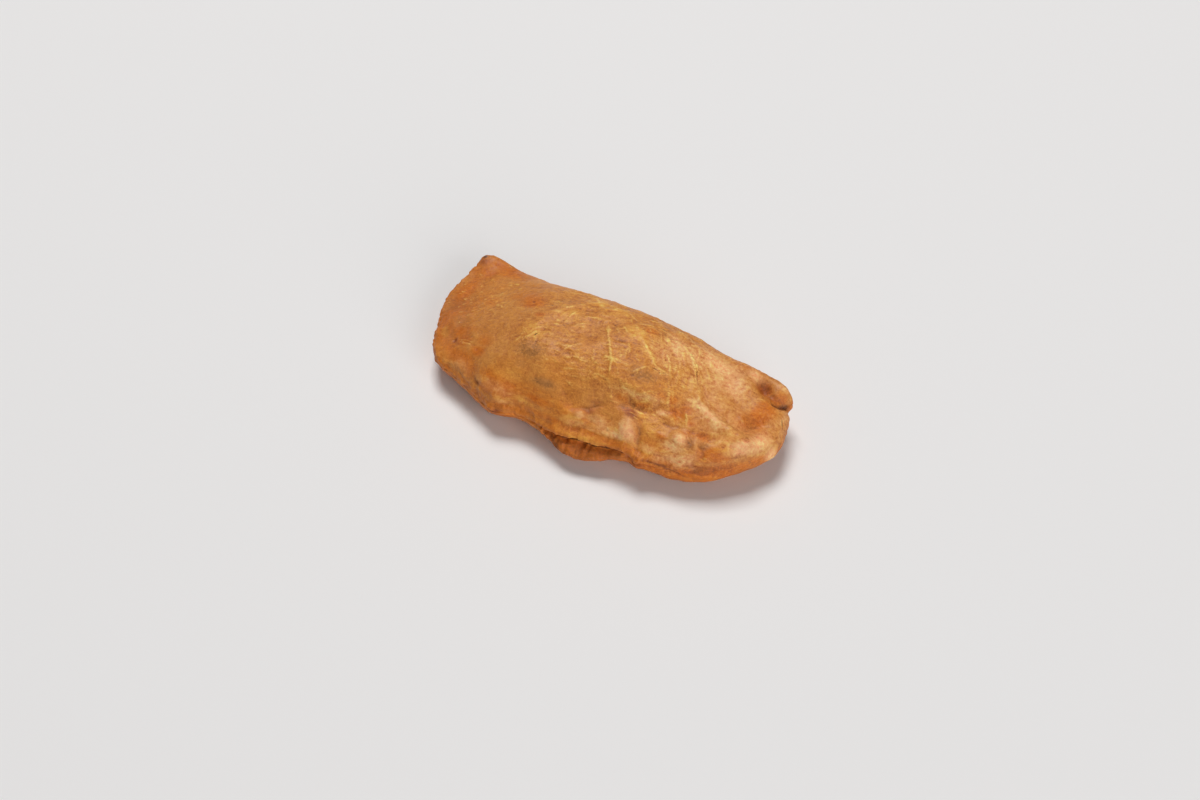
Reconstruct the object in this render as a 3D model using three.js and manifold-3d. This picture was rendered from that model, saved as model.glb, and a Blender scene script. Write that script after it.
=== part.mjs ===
// A fried turnover: a sheet of dough folded over a savoury filling, pressed shut along the front and at both ends,
// and blown up by the hot oil. It lies on its flatter underside, with the fold at the back. Millimetres, +Z up.
import * as THREE from "three";
import { mergeVertices } from "three/addons/utils/BufferGeometryUtils.js";
import Module from "manifold-3d";

// Driving dimensions.
const LENGTH = 148; // from the pressed left end to the tucked right end
const WIDTH = 66; // from the front seam to the fold at the back
const PUFF = 21.5; // rise of the crust over its edge, where it is blown up most
const SEAM_HEIGHT = 11; // middle of the pressed edge over the table

const HALF_LENGTH = LENGTH / 2;
const HALF_WIDTH = WIDTH / 2;

// Fineness of the faceted solid.
const STEPS_ALONG = 68;
const STEPS_ACROSS = 32;
const STEPS_EDGE = 8;
const EDGE_CROWDING = 0.5; // how far the steps are drawn towards the edges, where the crust turns down

// The edge of the dough seen from above, anticlockwise, in shares of half the length and half the width.
const FRONT_SEAM = [
  [-0.81, -0.765],
  [-0.655, -0.88],
  [-0.52, -0.97],
  [-0.386, -1.06], // doubled corner of the seam
  [-0.257, -0.965],
  [-0.11, -0.965],
  [0.0, -0.96],
  [0.11, -0.88],
  [0.27, -0.845],
  [0.43, -0.8],
  [0.58, -0.745],
];
const RIGHT_END = [
  [0.716, -0.62],
  [0.79, -0.475],
  [0.854, -0.3],
  [0.91, -0.11],
  [0.946, 0.06],
  [0.943, 0.26],
  [0.92, 0.44],
  [0.903, 0.57],
  [0.881, 0.64], // nick where the end is tucked in
  [0.878, 0.73],
];
const BACK_FOLD = [
  [0.824, 0.825],
  [0.73, 0.86],
  [0.57, 0.89],
  [0.35, 0.885],
  [0.11, 0.89],
  [-0.16, 0.875],
  [-0.46, 0.84],
  [-0.73, 0.86],
  [-0.89, 0.865],
  [-0.964, 0.815],
];
const LEFT_END = [
  [-0.984, 0.765], // turned-up tip
  [-0.99, 0.685],
  [-1.003, 0.5],
  [-1.014, 0.27],
  [-1.005, 0.1],
  [-0.97, -0.13],
  [-0.924, -0.36],
  [-0.882, -0.575],
];

// Rise of the crust over its edge along the middle, as a share of PUFF, by the share of the half length.
const CREST = [
  [-1.05, 0.02],
  [-0.89, 0.18],
  [-0.76, 0.34],
  [-0.62, 0.52],
  [-0.46, 0.74],
  [-0.27, 0.89],
  [0.0, 0.95],
  [0.19, 0.94],
  [0.35, 0.76],
  [0.51, 0.53],
  [0.68, 0.45],
  [0.84, 0.36],
  [1.0, 0.22],
];
// Half the thickness of the edge: thin and pressed at the left, a fat roll at the right.
const HALF_EDGE = [
  [-1.05, 2.0],
  [-0.6, 2.3],
  [-0.2, 2.5],
  [0.2, 2.7],
  [0.45, 3.4],
  [0.7, 3.8],
  [1.0, 3.6],
];
const FRONT_FALL = 2.4; // first power of the fall of the crust towards the front
const FRONT_SUDDENNESS = [[-1.05, 0.9], [-0.2, 0.9], [0.05, 1.25], [0.7, 1.25], [1, 1.1]]; // its second power
const BACK_FALL = [2.6, 0.55]; // towards the fold: full, then steep
const END_FALL = [7, 0.62]; // towards the two ends
const UNDER_FALL = [2.6, 5, 0.8]; // of the underside: across, along, and how sudden
const UNDER_REACH = 1.35; // depth of the underside as a share of the edge's height, before it is flattened
const EDGE_ROUNDNESS = 1.5; // how far the edge carries on the slopes of the two sides, in thicknesses
const FOLD_TILT = 0.03; // the fold lies a little higher than the front seam

// Where the edge runs higher or lower than its usual height: middle, reach along and across, lift.
const SEAM_LIFTS = [
  { at: [-1.0, 0.86], reach: [12, 9], lift: 4 }, // turned-up tip of the left end
  { at: [0.865, 0.79], reach: [14, 10], lift: 3 }, // back lobe of the right end
  { at: [0.675, -0.79], reach: [20, 8], lift: -2 }, // front right, where the rolled edge droops
];

// Dents and bumps that the oil left in the crust: middle, reach along and across, turn in degrees, lift.
const BUMPS = [
  { at: [0.757, 0.606], reach: [3.8, 3.4], turn: 0, lift: -3.2 }, // thumb-sized dimple at the right end
  { at: [0.7, 0.24], reach: [12, 8], turn: -20, lift: -2.2 }, // dished middle of the right end
  { at: [0.69, -0.4], reach: [5, 3.4], turn: 30, lift: -1.8 }, // hollow of the front right
  { at: [0.56, -0.56], reach: [3.8, 2.8], turn: 20, lift: 1.9 },
  { at: [0.47, -0.4], reach: [4, 3], turn: 20, lift: 0.9 },
  { at: [0.318, -0.755], reach: [5.4, 3.2], turn: -55, lift: 1.7 }, // lump at the right end of the gap
  { at: [0.08, -0.78], reach: [4, 2.6], turn: 20, lift: 1.3 },
  { at: [0.26, -0.46], reach: [8, 3.2], turn: 5, lift: -1.4 }, // hollow under the ridge of the front middle
  { at: [0.64, -0.56], reach: [5, 3], turn: 30, lift: 1 },
  { at: [-0.77, -0.5], reach: [5, 5], turn: 0, lift: -1.1 }, // pressed hollow behind the front left corner
  { at: [-0.84, -0.33], reach: [6, 3.4], turn: -60, lift: 1.1 }, // orange fold of the left end
  { at: [-0.47, 0], reach: [7, 6], turn: 0, lift: -0.8 },
];

// Furrows and ridges: the line they follow, half width, and their lift at either end.
const CREASES = [
  {
    line: [[0.77, 0.57], [0.83, 0.55], [0.92, 0.61]],
    width: 2.2,
    lift: [-1.5, -3],
  }, // tuck of the right end
  {
    line: [[0.46, 0.26], [0.57, 0.02], [0.68, -0.08], [0.8, -0.04], [0.85, 0.16]],
    width: 3,
    lift: [-0.5, -2.4],
  },
  {
    line: [[0.42, 0.24], [0.52, 0.03], [0.62, -0.12], [0.73, -0.2], [0.86, -0.2]],
    width: 3,
    lift: [0.6, 1.7],
  },
  { line: [[0.03, -0.77], [0.09, -0.71], [0.15, -0.61]], width: 2, lift: [-1.2, -0.8] },
  { line: [[0.15, -0.42], [0.23, -0.4], [0.31, -0.37], [0.35, -0.33]], width: 2.2, lift: [0.6, 0.8] },
  { line: [[0.39, -0.61], [0.4, -0.75]], width: 2, lift: [-0.9, -0.8] },
  {
    line: [[-0.02, -0.74], [0.07, -0.68], [0.15, -0.6], [0.25, -0.52], [0.37, -0.46], [0.5, -0.36]],
    width: 3.8,
    lift: [-1.2, -2],
  }, // foot of the dome
  {
    line: [[0, -0.9], [0.15, -0.87], [0.3, -0.81], [0.45, -0.74], [0.6, -0.64], [0.75, -0.44], [0.86, -0.19]],
    width: 4,
    lift: [1.9, 1.9],
  }, // pressed band of the front
];

// Long low waves of the crust: wave length along and across, phase and height.
const TOP_WAVES = [
  { along: 37, across: 61, phase: 0.4, height: 0.4 },
  { along: -29, across: 22, phase: 2.1, height: 0.2 },
  { along: 71, across: -24, phase: 4.4, height: 0.2 },
  { along: 15, across: -19, phase: 0.9, height: 0.12 },
];
const UNDER_WAVES = [
  { along: 47, across: -59, phase: 1.7, height: 0.4 },
  { along: -29, across: 37, phase: 3.3, height: 0.2 },
];

// The front seam, by the share of the half length: where round the edge the gap between the two layers lies, from
// 0 at the top to 1 underneath, and in millimetres how deep it goes in, how far the layer over it and the one under
// it stand out, and how far the lower one sags.
const GAP_PLACE = [
  [-0.8, 0.5],
  [-0.22, 0.5],
  [-0.1, 0.4],
  [0.03, 0.36],
  [0.25, 0.36],
  [0.36, 0.42],
  [0.45, 0.5],
  [0.73, 0.5],
];
const SEAM_GAP = [
  [-0.8, 0.3],
  [-0.3, 0.5],
  [-0.16, 0.7],
  [-0.08, 1.4],
  [0.0, 1.9],
  [0.25, 1.9],
  [0.4, 0.9],
  [0.73, 0.2],
];
const UPPER_LIP = [
  [-0.8, 0.2],
  [-0.42, 0.2],
  [-0.36, 1.0],
  [-0.28, 0.4],
  [-0.1, 0.8],
  [0.0, 1.6],
  [0.2, 1.7],
  [0.32, 1.0],
  [0.38, 1.0],
  [0.425, 2.2], // crumb fried onto the seam
  [0.47, 1.0],
  [0.53, 0.4],
  [0.73, 0.2],
];
const LOWER_LIP = [
  [-0.22, 0],
  [-0.14, 0.2],
  [-0.05, 1.4],
  [0.0, 2.8],
  [0.05, 4.4],
  [0.12, 5.0],
  [0.18, 4.4],
  [0.25, 2.6],
  [0.3, 1.4],
  [0.38, 0.8],
  [0.425, 1.8],
  [0.47, 0.6],
  [0.53, 0],
];
const LIP_SAG = [
  [-0.22, 0],
  [-0.08, 1.2],
  [0.03, 3.4],
  [0.15, 3.6],
  [0.25, 2.2],
  [0.36, 0],
];
const GAP_WIDTH = 0.1; // half width of the gap, as a share of the way round the edge
const UPPER_NOSE = 0.7; // the upper layer hangs over blunt
const LOWER_NOSE = 1.3; // the lower one slopes out
const END_GAP = 0.4; // shallow line where the two layers meet at the pressed ends

// A smooth curve through [at, value] stations: cubic pieces, each slope taken between the station's neighbours.
function through(stations) {
  const last = stations.length - 1;
  const slopes = stations.map((_, i) => {
    const before = stations[Math.max(i - 1, 0)];
    const after = stations[Math.min(i + 1, last)];
    return (after[1] - before[1]) / (after[0] - before[0]);
  });
  return (at) => {
    const x = THREE.MathUtils.clamp(at, stations[0][0], stations[last][0]);
    let i = 0;
    while (i < last - 1 && stations[i + 1][0] <= x) i++;
    const [x0, y0] = stations[i];
    const [x1, y1] = stations[i + 1];
    const t = (x - x0) / (x1 - x0);
    const value = y0 * (1 + 2 * t) * (1 - t) ** 2 + y1 * t * t * (3 - 2 * t);
    return value + (x1 - x0) * (slopes[i] * t * (1 - t) ** 2 - slopes[i + 1] * t * t * (1 - t));
  };
}

const crest = through(CREST);
const halfEdge = through(HALF_EDGE);
const frontSuddenness = through(FRONT_SUDDENNESS);
const gapPlace = through(GAP_PLACE);
const seamGap = through(SEAM_GAP);
const upperLip = through(UPPER_LIP);
const lowerLip = through(LOWER_LIP);
const lipSag = through(LIP_SAG);
const bell = (x) => Math.exp(-x * x);
const fall = (share, [power, suddenness]) => (1 - Math.abs(share) ** power) ** suddenness;

// The outline as one closed smooth curve, and each of its four sides as a function of the share of its length.
function outlineSides() {
  const sides = [FRONT_SEAM, RIGHT_END, BACK_FOLD, LEFT_END];
  const loop = sides.flat().map(([x, y]) => [x * HALF_LENGTH, y * HALF_WIDTH]);
  const count = loop.length;
  const overlap = 2; // stations repeated past either end, so that the curve closes smoothly
  const xs = [];
  const ys = [];
  let travelled = 0;
  for (let i = -overlap; i <= count + overlap; i++) {
    const [x, y] = loop[(i + count) % count];
    if (xs.length) travelled += Math.hypot(x - xs.at(-1)[1], y - ys.at(-1)[1]);
    xs.push([travelled, x]);
    ys.push([travelled, y]);
  }
  const xAt = through(xs);
  const yAt = through(ys);
  let station = overlap;
  return sides.map((side) => {
    const start = xs[station][0];
    station += side.length;
    const end = xs[station][0];
    return (share) => [xAt(start + (end - start) * share), yAt(start + (end - start) * share)];
  });
}

const [frontSide, rightSide, backSide, leftSide] = outlineSides();

// The outline filled in: u runs from the left end to the right one and v from front to back, both from -1 to 1.
function planform(u, v) {
  const s = (1 + u) / 2;
  const t = (1 + v) / 2;
  const [front, right, back, left] = [frontSide(s), rightSide(t), backSide(1 - s), leftSide(1 - t)];
  const corners = [frontSide(0), rightSide(0), backSide(0), leftSide(0)];
  return [0, 1].map((axis) => {
    const ruled = front[axis] * (1 - t) + back[axis] * t + left[axis] * (1 - s) + right[axis] * s;
    const nearCorners = corners[0][axis] * (1 - s) * (1 - t) + corners[1][axis] * s * (1 - t);
    const farCorners = corners[2][axis] * s * t + corners[3][axis] * (1 - s) * t;
    return ruled - nearCorners - farCorners;
  });
}

// Lift of a round or oval patch at a point.
function patch(x, y, { at, reach, turn = 0, lift }) {
  const angle = THREE.MathUtils.degToRad(turn);
  const dx = x - at[0] * HALF_LENGTH;
  const dy = y - at[1] * HALF_WIDTH;
  const a = dx * Math.cos(angle) + dy * Math.sin(angle);
  const b = dy * Math.cos(angle) - dx * Math.sin(angle);
  return lift * bell(Math.hypot(a / reach[0], b / reach[1]));
}

// Lift of a furrow or ridge at a point: a bell across the nearest piece of its line, changing evenly from end to end.
function crease(x, y, { line, width, lift }) {
  let nearest = Infinity;
  let share = 0;
  for (let i = 0; i + 1 < line.length; i++) {
    const ax = line[i][0] * HALF_LENGTH;
    const ay = line[i][1] * HALF_WIDTH;
    const bx = line[i + 1][0] * HALF_LENGTH - ax;
    const by = line[i + 1][1] * HALF_WIDTH - ay;
    const t = THREE.MathUtils.clamp(((x - ax) * bx + (y - ay) * by) / (bx * bx + by * by), 0, 1);
    const distance = Math.hypot(x - ax - t * bx, y - ay - t * by);
    if (distance < nearest) {
      nearest = distance;
      share = (i + t) / (line.length - 1);
    }
  }
  return (lift[0] * (1 - share) + lift[1] * share) * bell(nearest / width);
}

function waves(x, y, list) {
  const turn = 2 * Math.PI;
  return list.reduce((sum, w) => sum + w.height * Math.sin(turn * (x / w.along + y / w.across) + w.phase), 0);
}

const seamHeight = (x, y) => SEAM_LIFTS.reduce((z, lift) => z + patch(x, y, lift), SEAM_HEIGHT + FOLD_TILT * y);

// The blown-up top: a bulge over the edge with its dents, creases and waves.
function topHeight(u, v, x, y) {
  const along = x / HALF_LENGTH;
  const powers = v < 0 ? [FRONT_FALL, frontSuddenness(along)] : BACK_FALL;
  const bulge = fall(v, powers) * fall(u, END_FALL);
  const bumps = BUMPS.reduce((sum, bump) => sum + patch(x, y, bump), 0);
  const creases = CREASES.reduce((sum, line) => sum + crease(x, y, line), 0);
  const inward = Math.min(1, 2 * (1 - Math.max(Math.abs(u), Math.abs(v))));
  const relief = bumps + creases + waves(x, y, TOP_WAVES) * inward;
  return seamHeight(x, y) + halfEdge(along) + PUFF * crest(along) * bulge + relief;
}

// The underside: a bulge that reaches below the table's height, so that trimming it leaves the flat spot.
function underHeight(u, v, x, y) {
  const along = x / HALF_LENGTH;
  const [across, lengthways, suddenness] = UNDER_FALL;
  const bulge = UNDER_REACH * fall(v, [across, suddenness]) * fall(u, [lengthways, suddenness]);
  const frontness = THREE.MathUtils.clamp(-v, 0, 1) ** 2;
  const edge = seamHeight(x, y) - halfEdge(along) - lipSag(along) * frontness;
  const edgewise = (4 * bulge * (UNDER_REACH - bulge)) / UNDER_REACH ** 2; // fades the waves at the edge and middle
  return edge * (1 - bulge) + waves(x, y, UNDER_WAVES) * edgewise;
}

const spread = (i, steps) => {
  const even = (2 * i) / steps - 1;
  return even * (1 - EDGE_CROWDING) + Math.sin((even * Math.PI) / 2) * EDGE_CROWDING;
};

// How far the edge stands out beyond its plain rounding, w of the way from the top layer to the bottom one.
function layering(w, side, along) {
  if (side === "back") return 0;
  if (side !== "front") return -END_GAP * bell((w - 0.5) / GAP_WIDTH);
  const gap = gapPlace(along);
  const layer = w < gap ? w / gap : (w - gap) / (1 - gap); // how far down the upper or the lower layer's own edge
  const lip = w < gap ? upperLip(along) : lowerLip(along);
  const nose = w < gap ? UPPER_NOSE : LOWER_NOSE;
  return lip * Math.sin(Math.PI * layer ** nose) - seamGap(along) * bell((w - gap) / GAP_WIDTH);
}

// The turnover as one closed mesh: a top grid, an under grid, and rings round the edge that join them.
function turnoverMesh() {
  const rows = STEPS_ACROSS + 1;
  const points = [];
  const faces = [];
  const at = (i, j) => i * rows + j;
  const quad = (a, b, c, d) => faces.push(a, b, c, a, c, d);

  for (const height of [topHeight, underHeight]) {
    for (let i = 0; i <= STEPS_ALONG; i++) {
      for (let j = 0; j <= STEPS_ACROSS; j++) {
        const u = spread(i, STEPS_ALONG);
        const v = spread(j, STEPS_ACROSS);
        const [x, y] = planform(u, v);
        points.push(new THREE.Vector3(x, y, height(u, v, x, y)));
      }
    }
  }
  const under = points.length / 2;
  for (let i = 0; i < STEPS_ALONG; i++) {
    for (let j = 0; j < STEPS_ACROSS; j++) {
      const corners = [at(i, j), at(i + 1, j), at(i + 1, j + 1), at(i, j + 1)];
      quad(...corners);
      quad(...corners.map((k) => k + under).reverse());
    }
  }

  // The grid's border, anticlockwise from the front left corner: each point, its inner neighbour and its side.
  const border = [];
  const addBorder = (i, j, side) => {
    const innerI = THREE.MathUtils.clamp(i, 1, STEPS_ALONG - 1);
    const innerJ = THREE.MathUtils.clamp(j, 1, STEPS_ACROSS - 1);
    border.push({ edge: at(i, j), inner: at(innerI, innerJ), side });
  };
  for (let i = 0; i < STEPS_ALONG; i++) addBorder(i, 0, "front");
  for (let j = 0; j < STEPS_ACROSS; j++) addBorder(STEPS_ALONG, j, "right");
  for (let i = STEPS_ALONG; i > 0; i--) addBorder(i, STEPS_ACROSS, "back");
  for (let j = STEPS_ACROSS; j > 0; j--) addBorder(0, j, "left");

  const rings = [border.map(({ edge }) => edge)];
  for (let ring = 1; ring < STEPS_EDGE; ring++) {
    const w = ring / STEPS_EDGE;
    const first = points.length;
    border.forEach(({ edge, inner, side }, n) => {
      const upper = points[edge];
      const lower = points[edge + under];
      const reach = EDGE_ROUNDNESS * (upper.z - lower.z);
      const outOfTop = upper.clone().sub(points[inner]).setLength(reach);
      const outOfUnder = lower.clone().sub(points[inner + under]).setLength(reach);
      const before = points[border.at(n - 1).edge];
      const after = points[border[(n + 1) % border.length].edge];
      const outward = new THREE.Vector3(after.y - before.y, before.x - after.x, 0);
      outward.setLength(layering(w, side, upper.x / HALF_LENGTH));
      const rounded = new THREE.Vector3()
        .addScaledVector(upper, (1 + 2 * w) * (1 - w) ** 2)
        .addScaledVector(outOfTop, w * (1 - w) ** 2)
        .addScaledVector(lower, w * w * (3 - 2 * w))
        .addScaledVector(outOfUnder, w * w * (1 - w));
      points.push(rounded.add(outward));
    });
    rings.push(border.map((_, n) => first + n));
  }
  rings.push(border.map(({ edge }) => edge + under));
  for (let ring = 0; ring < STEPS_EDGE; ring++) {
    border.forEach((_, n) => {
      const next = (n + 1) % border.length;
      quad(rings[ring][n], rings[ring + 1][n], rings[ring + 1][next], rings[ring][next]);
    });
  }
  const positions = new Float32Array(points.flatMap((p) => p.toArray()));
  return { positions, faces: new Uint32Array(faces) };
}

const wasm = await Module();
wasm.setup();

function solidOf({ positions, faces }) {
  return new wasm.Manifold(new wasm.Mesh({ numProp: 3, vertProperties: positions, triVerts: faces }));
}

// What lies below the table's height: it trims the bulging underside to the flat spot that the turnover rests on.
function belowTable() {
  const depth = 20;
  const slab = new THREE.BoxGeometry(2 * LENGTH, 2 * WIDTH, depth).translate(0, 0, -depth / 2);
  slab.deleteAttribute("normal");
  slab.deleteAttribute("uv");
  const merged = mergeVertices(slab);
  return solidOf({ positions: merged.attributes.position.array, faces: new Uint32Array(merged.index.array) });
}

// The trimmed solid, moved so that the origin lies under its middle at the table's height.
function turnoverGeometry() {
  const mesh = solidOf(turnoverMesh()).subtract(belowTable()).getMesh();
  const geometry = new THREE.BufferGeometry();
  geometry.setAttribute("position", new THREE.BufferAttribute(mesh.vertProperties, mesh.numProp));
  geometry.setIndex(new THREE.BufferAttribute(mesh.triVerts, 1));
  geometry.computeBoundingBox();
  const { min, max } = geometry.boundingBox;
  geometry.translate(-(min.x + max.x) / 2, -(min.y + max.y) / 2, -min.z);
  geometry.computeVertexNormals();
  return geometry;
}

const crust = new THREE.MeshStandardMaterial({ color: 0xb9783f, roughness: 0.5, metalness: 0 });

const turnover = new THREE.Mesh(turnoverGeometry(), crust);
turnover.name = "turnover";

const group = new THREE.Group();
group.add(turnover);

export default group;
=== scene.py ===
"""A fried turnover as it looks: a puffed crust, browned and wrinkled by the oil, over the CAD solid's form.

Lengths are millimetres in the drawing's frame: x runs along the turnover from the thin left end to the tucked
right end, y from the pressed front seam to the fold at the back, and z up. They become metres at the end.
"""
import math

import bpy
import numpy as np
from mathutils import Matrix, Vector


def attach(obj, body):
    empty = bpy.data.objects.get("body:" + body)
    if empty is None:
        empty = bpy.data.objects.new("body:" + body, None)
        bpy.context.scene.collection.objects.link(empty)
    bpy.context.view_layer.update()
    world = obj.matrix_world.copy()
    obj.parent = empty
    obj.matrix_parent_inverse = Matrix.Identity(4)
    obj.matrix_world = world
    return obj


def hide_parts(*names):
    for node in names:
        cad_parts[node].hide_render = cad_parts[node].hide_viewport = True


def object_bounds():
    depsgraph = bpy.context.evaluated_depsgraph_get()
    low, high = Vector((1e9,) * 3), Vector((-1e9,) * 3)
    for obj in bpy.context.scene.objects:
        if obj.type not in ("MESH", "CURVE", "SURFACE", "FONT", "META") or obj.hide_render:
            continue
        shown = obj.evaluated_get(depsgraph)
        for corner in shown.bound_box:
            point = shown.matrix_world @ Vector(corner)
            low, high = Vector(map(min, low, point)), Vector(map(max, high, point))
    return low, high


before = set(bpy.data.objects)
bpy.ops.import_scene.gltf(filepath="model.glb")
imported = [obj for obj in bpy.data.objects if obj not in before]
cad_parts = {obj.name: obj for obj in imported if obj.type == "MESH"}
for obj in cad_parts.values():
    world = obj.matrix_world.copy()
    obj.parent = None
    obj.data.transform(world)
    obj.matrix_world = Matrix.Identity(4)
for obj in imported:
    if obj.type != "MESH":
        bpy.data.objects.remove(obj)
cad_low, cad_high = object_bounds()

# Driving dimensions, as in the CAD solid.
LENGTH = 148
WIDTH = 66
PUFF = 21.5
SEAM_HEIGHT = 11
HALF_LENGTH = LENGTH / 2
HALF_WIDTH = WIDTH / 2
MM = 0.001

# Fineness of the crust's mesh; both numbers of steps over the top are even.
STEPS_ALONG = 360
STEPS_ACROSS = 176
STEPS_EDGE = 16
EDGE_CROWDING = 0.2
EDGE_LEAD = 3  # steps in from the border at which the slopes that the edge carries on are taken

# The edge of the dough seen from above, anticlockwise, in shares of half the length and half the width.
FRONT_SEAM = [
    (-0.81, -0.765), (-0.655, -0.88), (-0.52, -0.97), (-0.386, -1.06), (-0.257, -0.965), (-0.11, -0.965),
    (0.0, -0.96), (0.11, -0.88), (0.27, -0.845), (0.43, -0.8), (0.58, -0.745),
]
RIGHT_END = [
    (0.716, -0.62), (0.79, -0.475), (0.854, -0.3), (0.91, -0.11), (0.946, 0.06), (0.943, 0.26), (0.92, 0.44),
    (0.903, 0.57), (0.881, 0.64), (0.878, 0.73),
]
BACK_FOLD = [
    (0.824, 0.825), (0.73, 0.86), (0.57, 0.89), (0.35, 0.885), (0.11, 0.89), (-0.16, 0.875), (-0.46, 0.84),
    (-0.73, 0.86), (-0.89, 0.865), (-0.964, 0.815),
]
LEFT_END = [
    (-0.984, 0.765), (-0.99, 0.685), (-1.003, 0.5), (-1.014, 0.27), (-1.005, 0.1), (-0.97, -0.13),
    (-0.924, -0.36), (-0.882, -0.575),
]

# Rise of the crust over its edge, half the edge's thickness, and the powers of the falls, as in the solid.
CREST = [
    (-1.05, 0.02), (-0.89, 0.18), (-0.76, 0.34), (-0.62, 0.52), (-0.46, 0.74), (-0.27, 0.89), (0.0, 0.95),
    (0.19, 0.94), (0.35, 0.76), (0.51, 0.53), (0.68, 0.45), (0.84, 0.36), (1.0, 0.22),
]
HALF_EDGE = [(-1.05, 2.0), (-0.6, 2.3), (-0.2, 2.5), (0.2, 2.7), (0.45, 3.4), (0.7, 3.8), (1.0, 3.6)]
FRONT_FALL = 2.4
FRONT_SUDDENNESS = [(-1.05, 0.9), (-0.2, 0.9), (0.05, 1.25), (0.7, 1.25), (1.0, 1.1)]
BACK_FALL = (2.6, 0.55)
END_FALL = (7, 0.62)
UNDER_FALL = (2.6, 5, 0.8)
UNDER_REACH = 1.35
EDGE_ROUNDNESS = 1.5
FOLD_TILT = 0.03
REST_EASE = 0.25  # how softly the underside turns into its flat spot

# Where the edge runs higher or lower: middle as shares, reach along and across, turn in degrees, lift.
SEAM_LIFTS = [((-1, 0.86), (12, 9), 0, 4), ((0.865, 0.79), (14, 10), 0, 3), ((0.675, -0.79), (20, 8), 0, -2)]

# Dents and bumps that the oil left in the crust: middle as shares, reach along and across, turn, lift.
BUMPS = [
    ((0.757, 0.606), (3.8, 3.4), 0, -3.2),
    ((0.7, 0.24), (12, 8), -20, -2.2),
    ((0.69, -0.4), (5, 3.4), 30, -1.8),
    ((0.56, -0.56), (3.8, 2.8), 20, 1.9),
    ((0.47, -0.4), (4, 3), 20, 0.9),
    ((0.318, -0.755), (5.4, 3.2), -55, 1.7),
    ((0.08, -0.78), (4, 2.6), 20, 1.3),
    ((0.26, -0.46), (8, 3.2), 5, -1.4),
    ((0.64, -0.56), (5, 3), 30, 1),
    ((-0.77, -0.5), (5, 5), 0, -1.1),
    ((-0.84, -0.33), (6, 3.4), -60, 1.1),
    ((-0.47, 0), (7, 6), 0, -0.8),
]
# Furrows and ridges: the line they follow as shares, half width, and their lift at either end.
CREASES = [
    ([(0.77, 0.57), (0.83, 0.55), (0.92, 0.61)], 2.2, (-1.5, -3)),
    ([(0.46, 0.26), (0.57, 0.02), (0.68, -0.08), (0.8, -0.04), (0.85, 0.16)], 3, (-0.5, -2.4)),
    ([(0.42, 0.24), (0.52, 0.03), (0.62, -0.12), (0.73, -0.2), (0.86, -0.2)], 3, (0.6, 1.7)),
    ([(0.03, -0.77), (0.09, -0.71), (0.15, -0.61)], 2, (-1.2, -0.8)),
    ([(0.15, -0.42), (0.23, -0.4), (0.31, -0.37), (0.35, -0.33)], 2.2, (0.6, 0.8)),
    ([(0.39, -0.61), (0.4, -0.75)], 2, (-0.9, -0.8)),
    (
        [(-0.02, -0.74), (0.07, -0.68), (0.15, -0.6), (0.25, -0.52), (0.37, -0.46), (0.5, -0.36)],
        3.8, (-1.2, -2),
    ),
    (
        [(0, -0.9), (0.15, -0.87), (0.3, -0.81), (0.45, -0.74), (0.6, -0.64), (0.75, -0.44), (0.86, -0.19)],
        4, (1.9, 1.9),
    ),
]
# Long low waves: wave length along and across, phase, height.
TOP_WAVES = [(37, 61, 0.4, 0.4), (-29, 22, 2.1, 0.2), (71, -24, 4.4, 0.2), (15, -19, 0.9, 0.12)]
UNDER_WAVES = [(47, -59, 1.7, 0.4), (-29, 37, 3.3, 0.2)]

# The front seam by the share of the half length: place of the gap round the edge, then its depth, how far the
# layers over and under it stand out, and how far the lower one sags, in millimetres.
GAP_PLACE = [
    (-0.8, 0.5), (-0.22, 0.5), (-0.1, 0.4), (0.03, 0.36), (0.25, 0.36), (0.36, 0.42), (0.45, 0.5),
    (0.73, 0.5),
]
SEAM_GAP = [
    (-0.8, 0.3), (-0.3, 0.5), (-0.16, 0.7), (-0.08, 1.4), (0, 1.9), (0.25, 1.9), (0.4, 0.9), (0.73, 0.2),
]
UPPER_LIP = [
    (-0.8, 0.2), (-0.42, 0.2), (-0.36, 1.0), (-0.28, 0.4), (-0.1, 0.8), (0.0, 1.6), (0.2, 1.7), (0.32, 1.0),
    (0.38, 1.0), (0.425, 2.2), (0.47, 1.0), (0.53, 0.4), (0.73, 0.2),
]
LOWER_LIP = [
    (-0.22, 0), (-0.14, 0.2), (-0.05, 1.4), (0.0, 2.8), (0.05, 4.4), (0.12, 5.0), (0.18, 4.4), (0.25, 2.6),
    (0.3, 1.4), (0.38, 0.8), (0.425, 1.8), (0.47, 0.6), (0.53, 0),
]
LIP_SAG = [(-0.22, 0), (-0.08, 1.2), (0.03, 3.4), (0.15, 3.6), (0.25, 2.2), (0.36, 0)]
GAP_WIDTH = 0.1
UPPER_NOSE, LOWER_NOSE = 0.7, 1.3  # the upper layer hangs over blunt, the lower one slopes out
END_GAP = 0.4
RAGGED_SIZE = 2.4  # size of the unevenness of the seam's line
RAGGED_REACH = 0.045  # and its reach, as a share of the way round the edge

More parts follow.
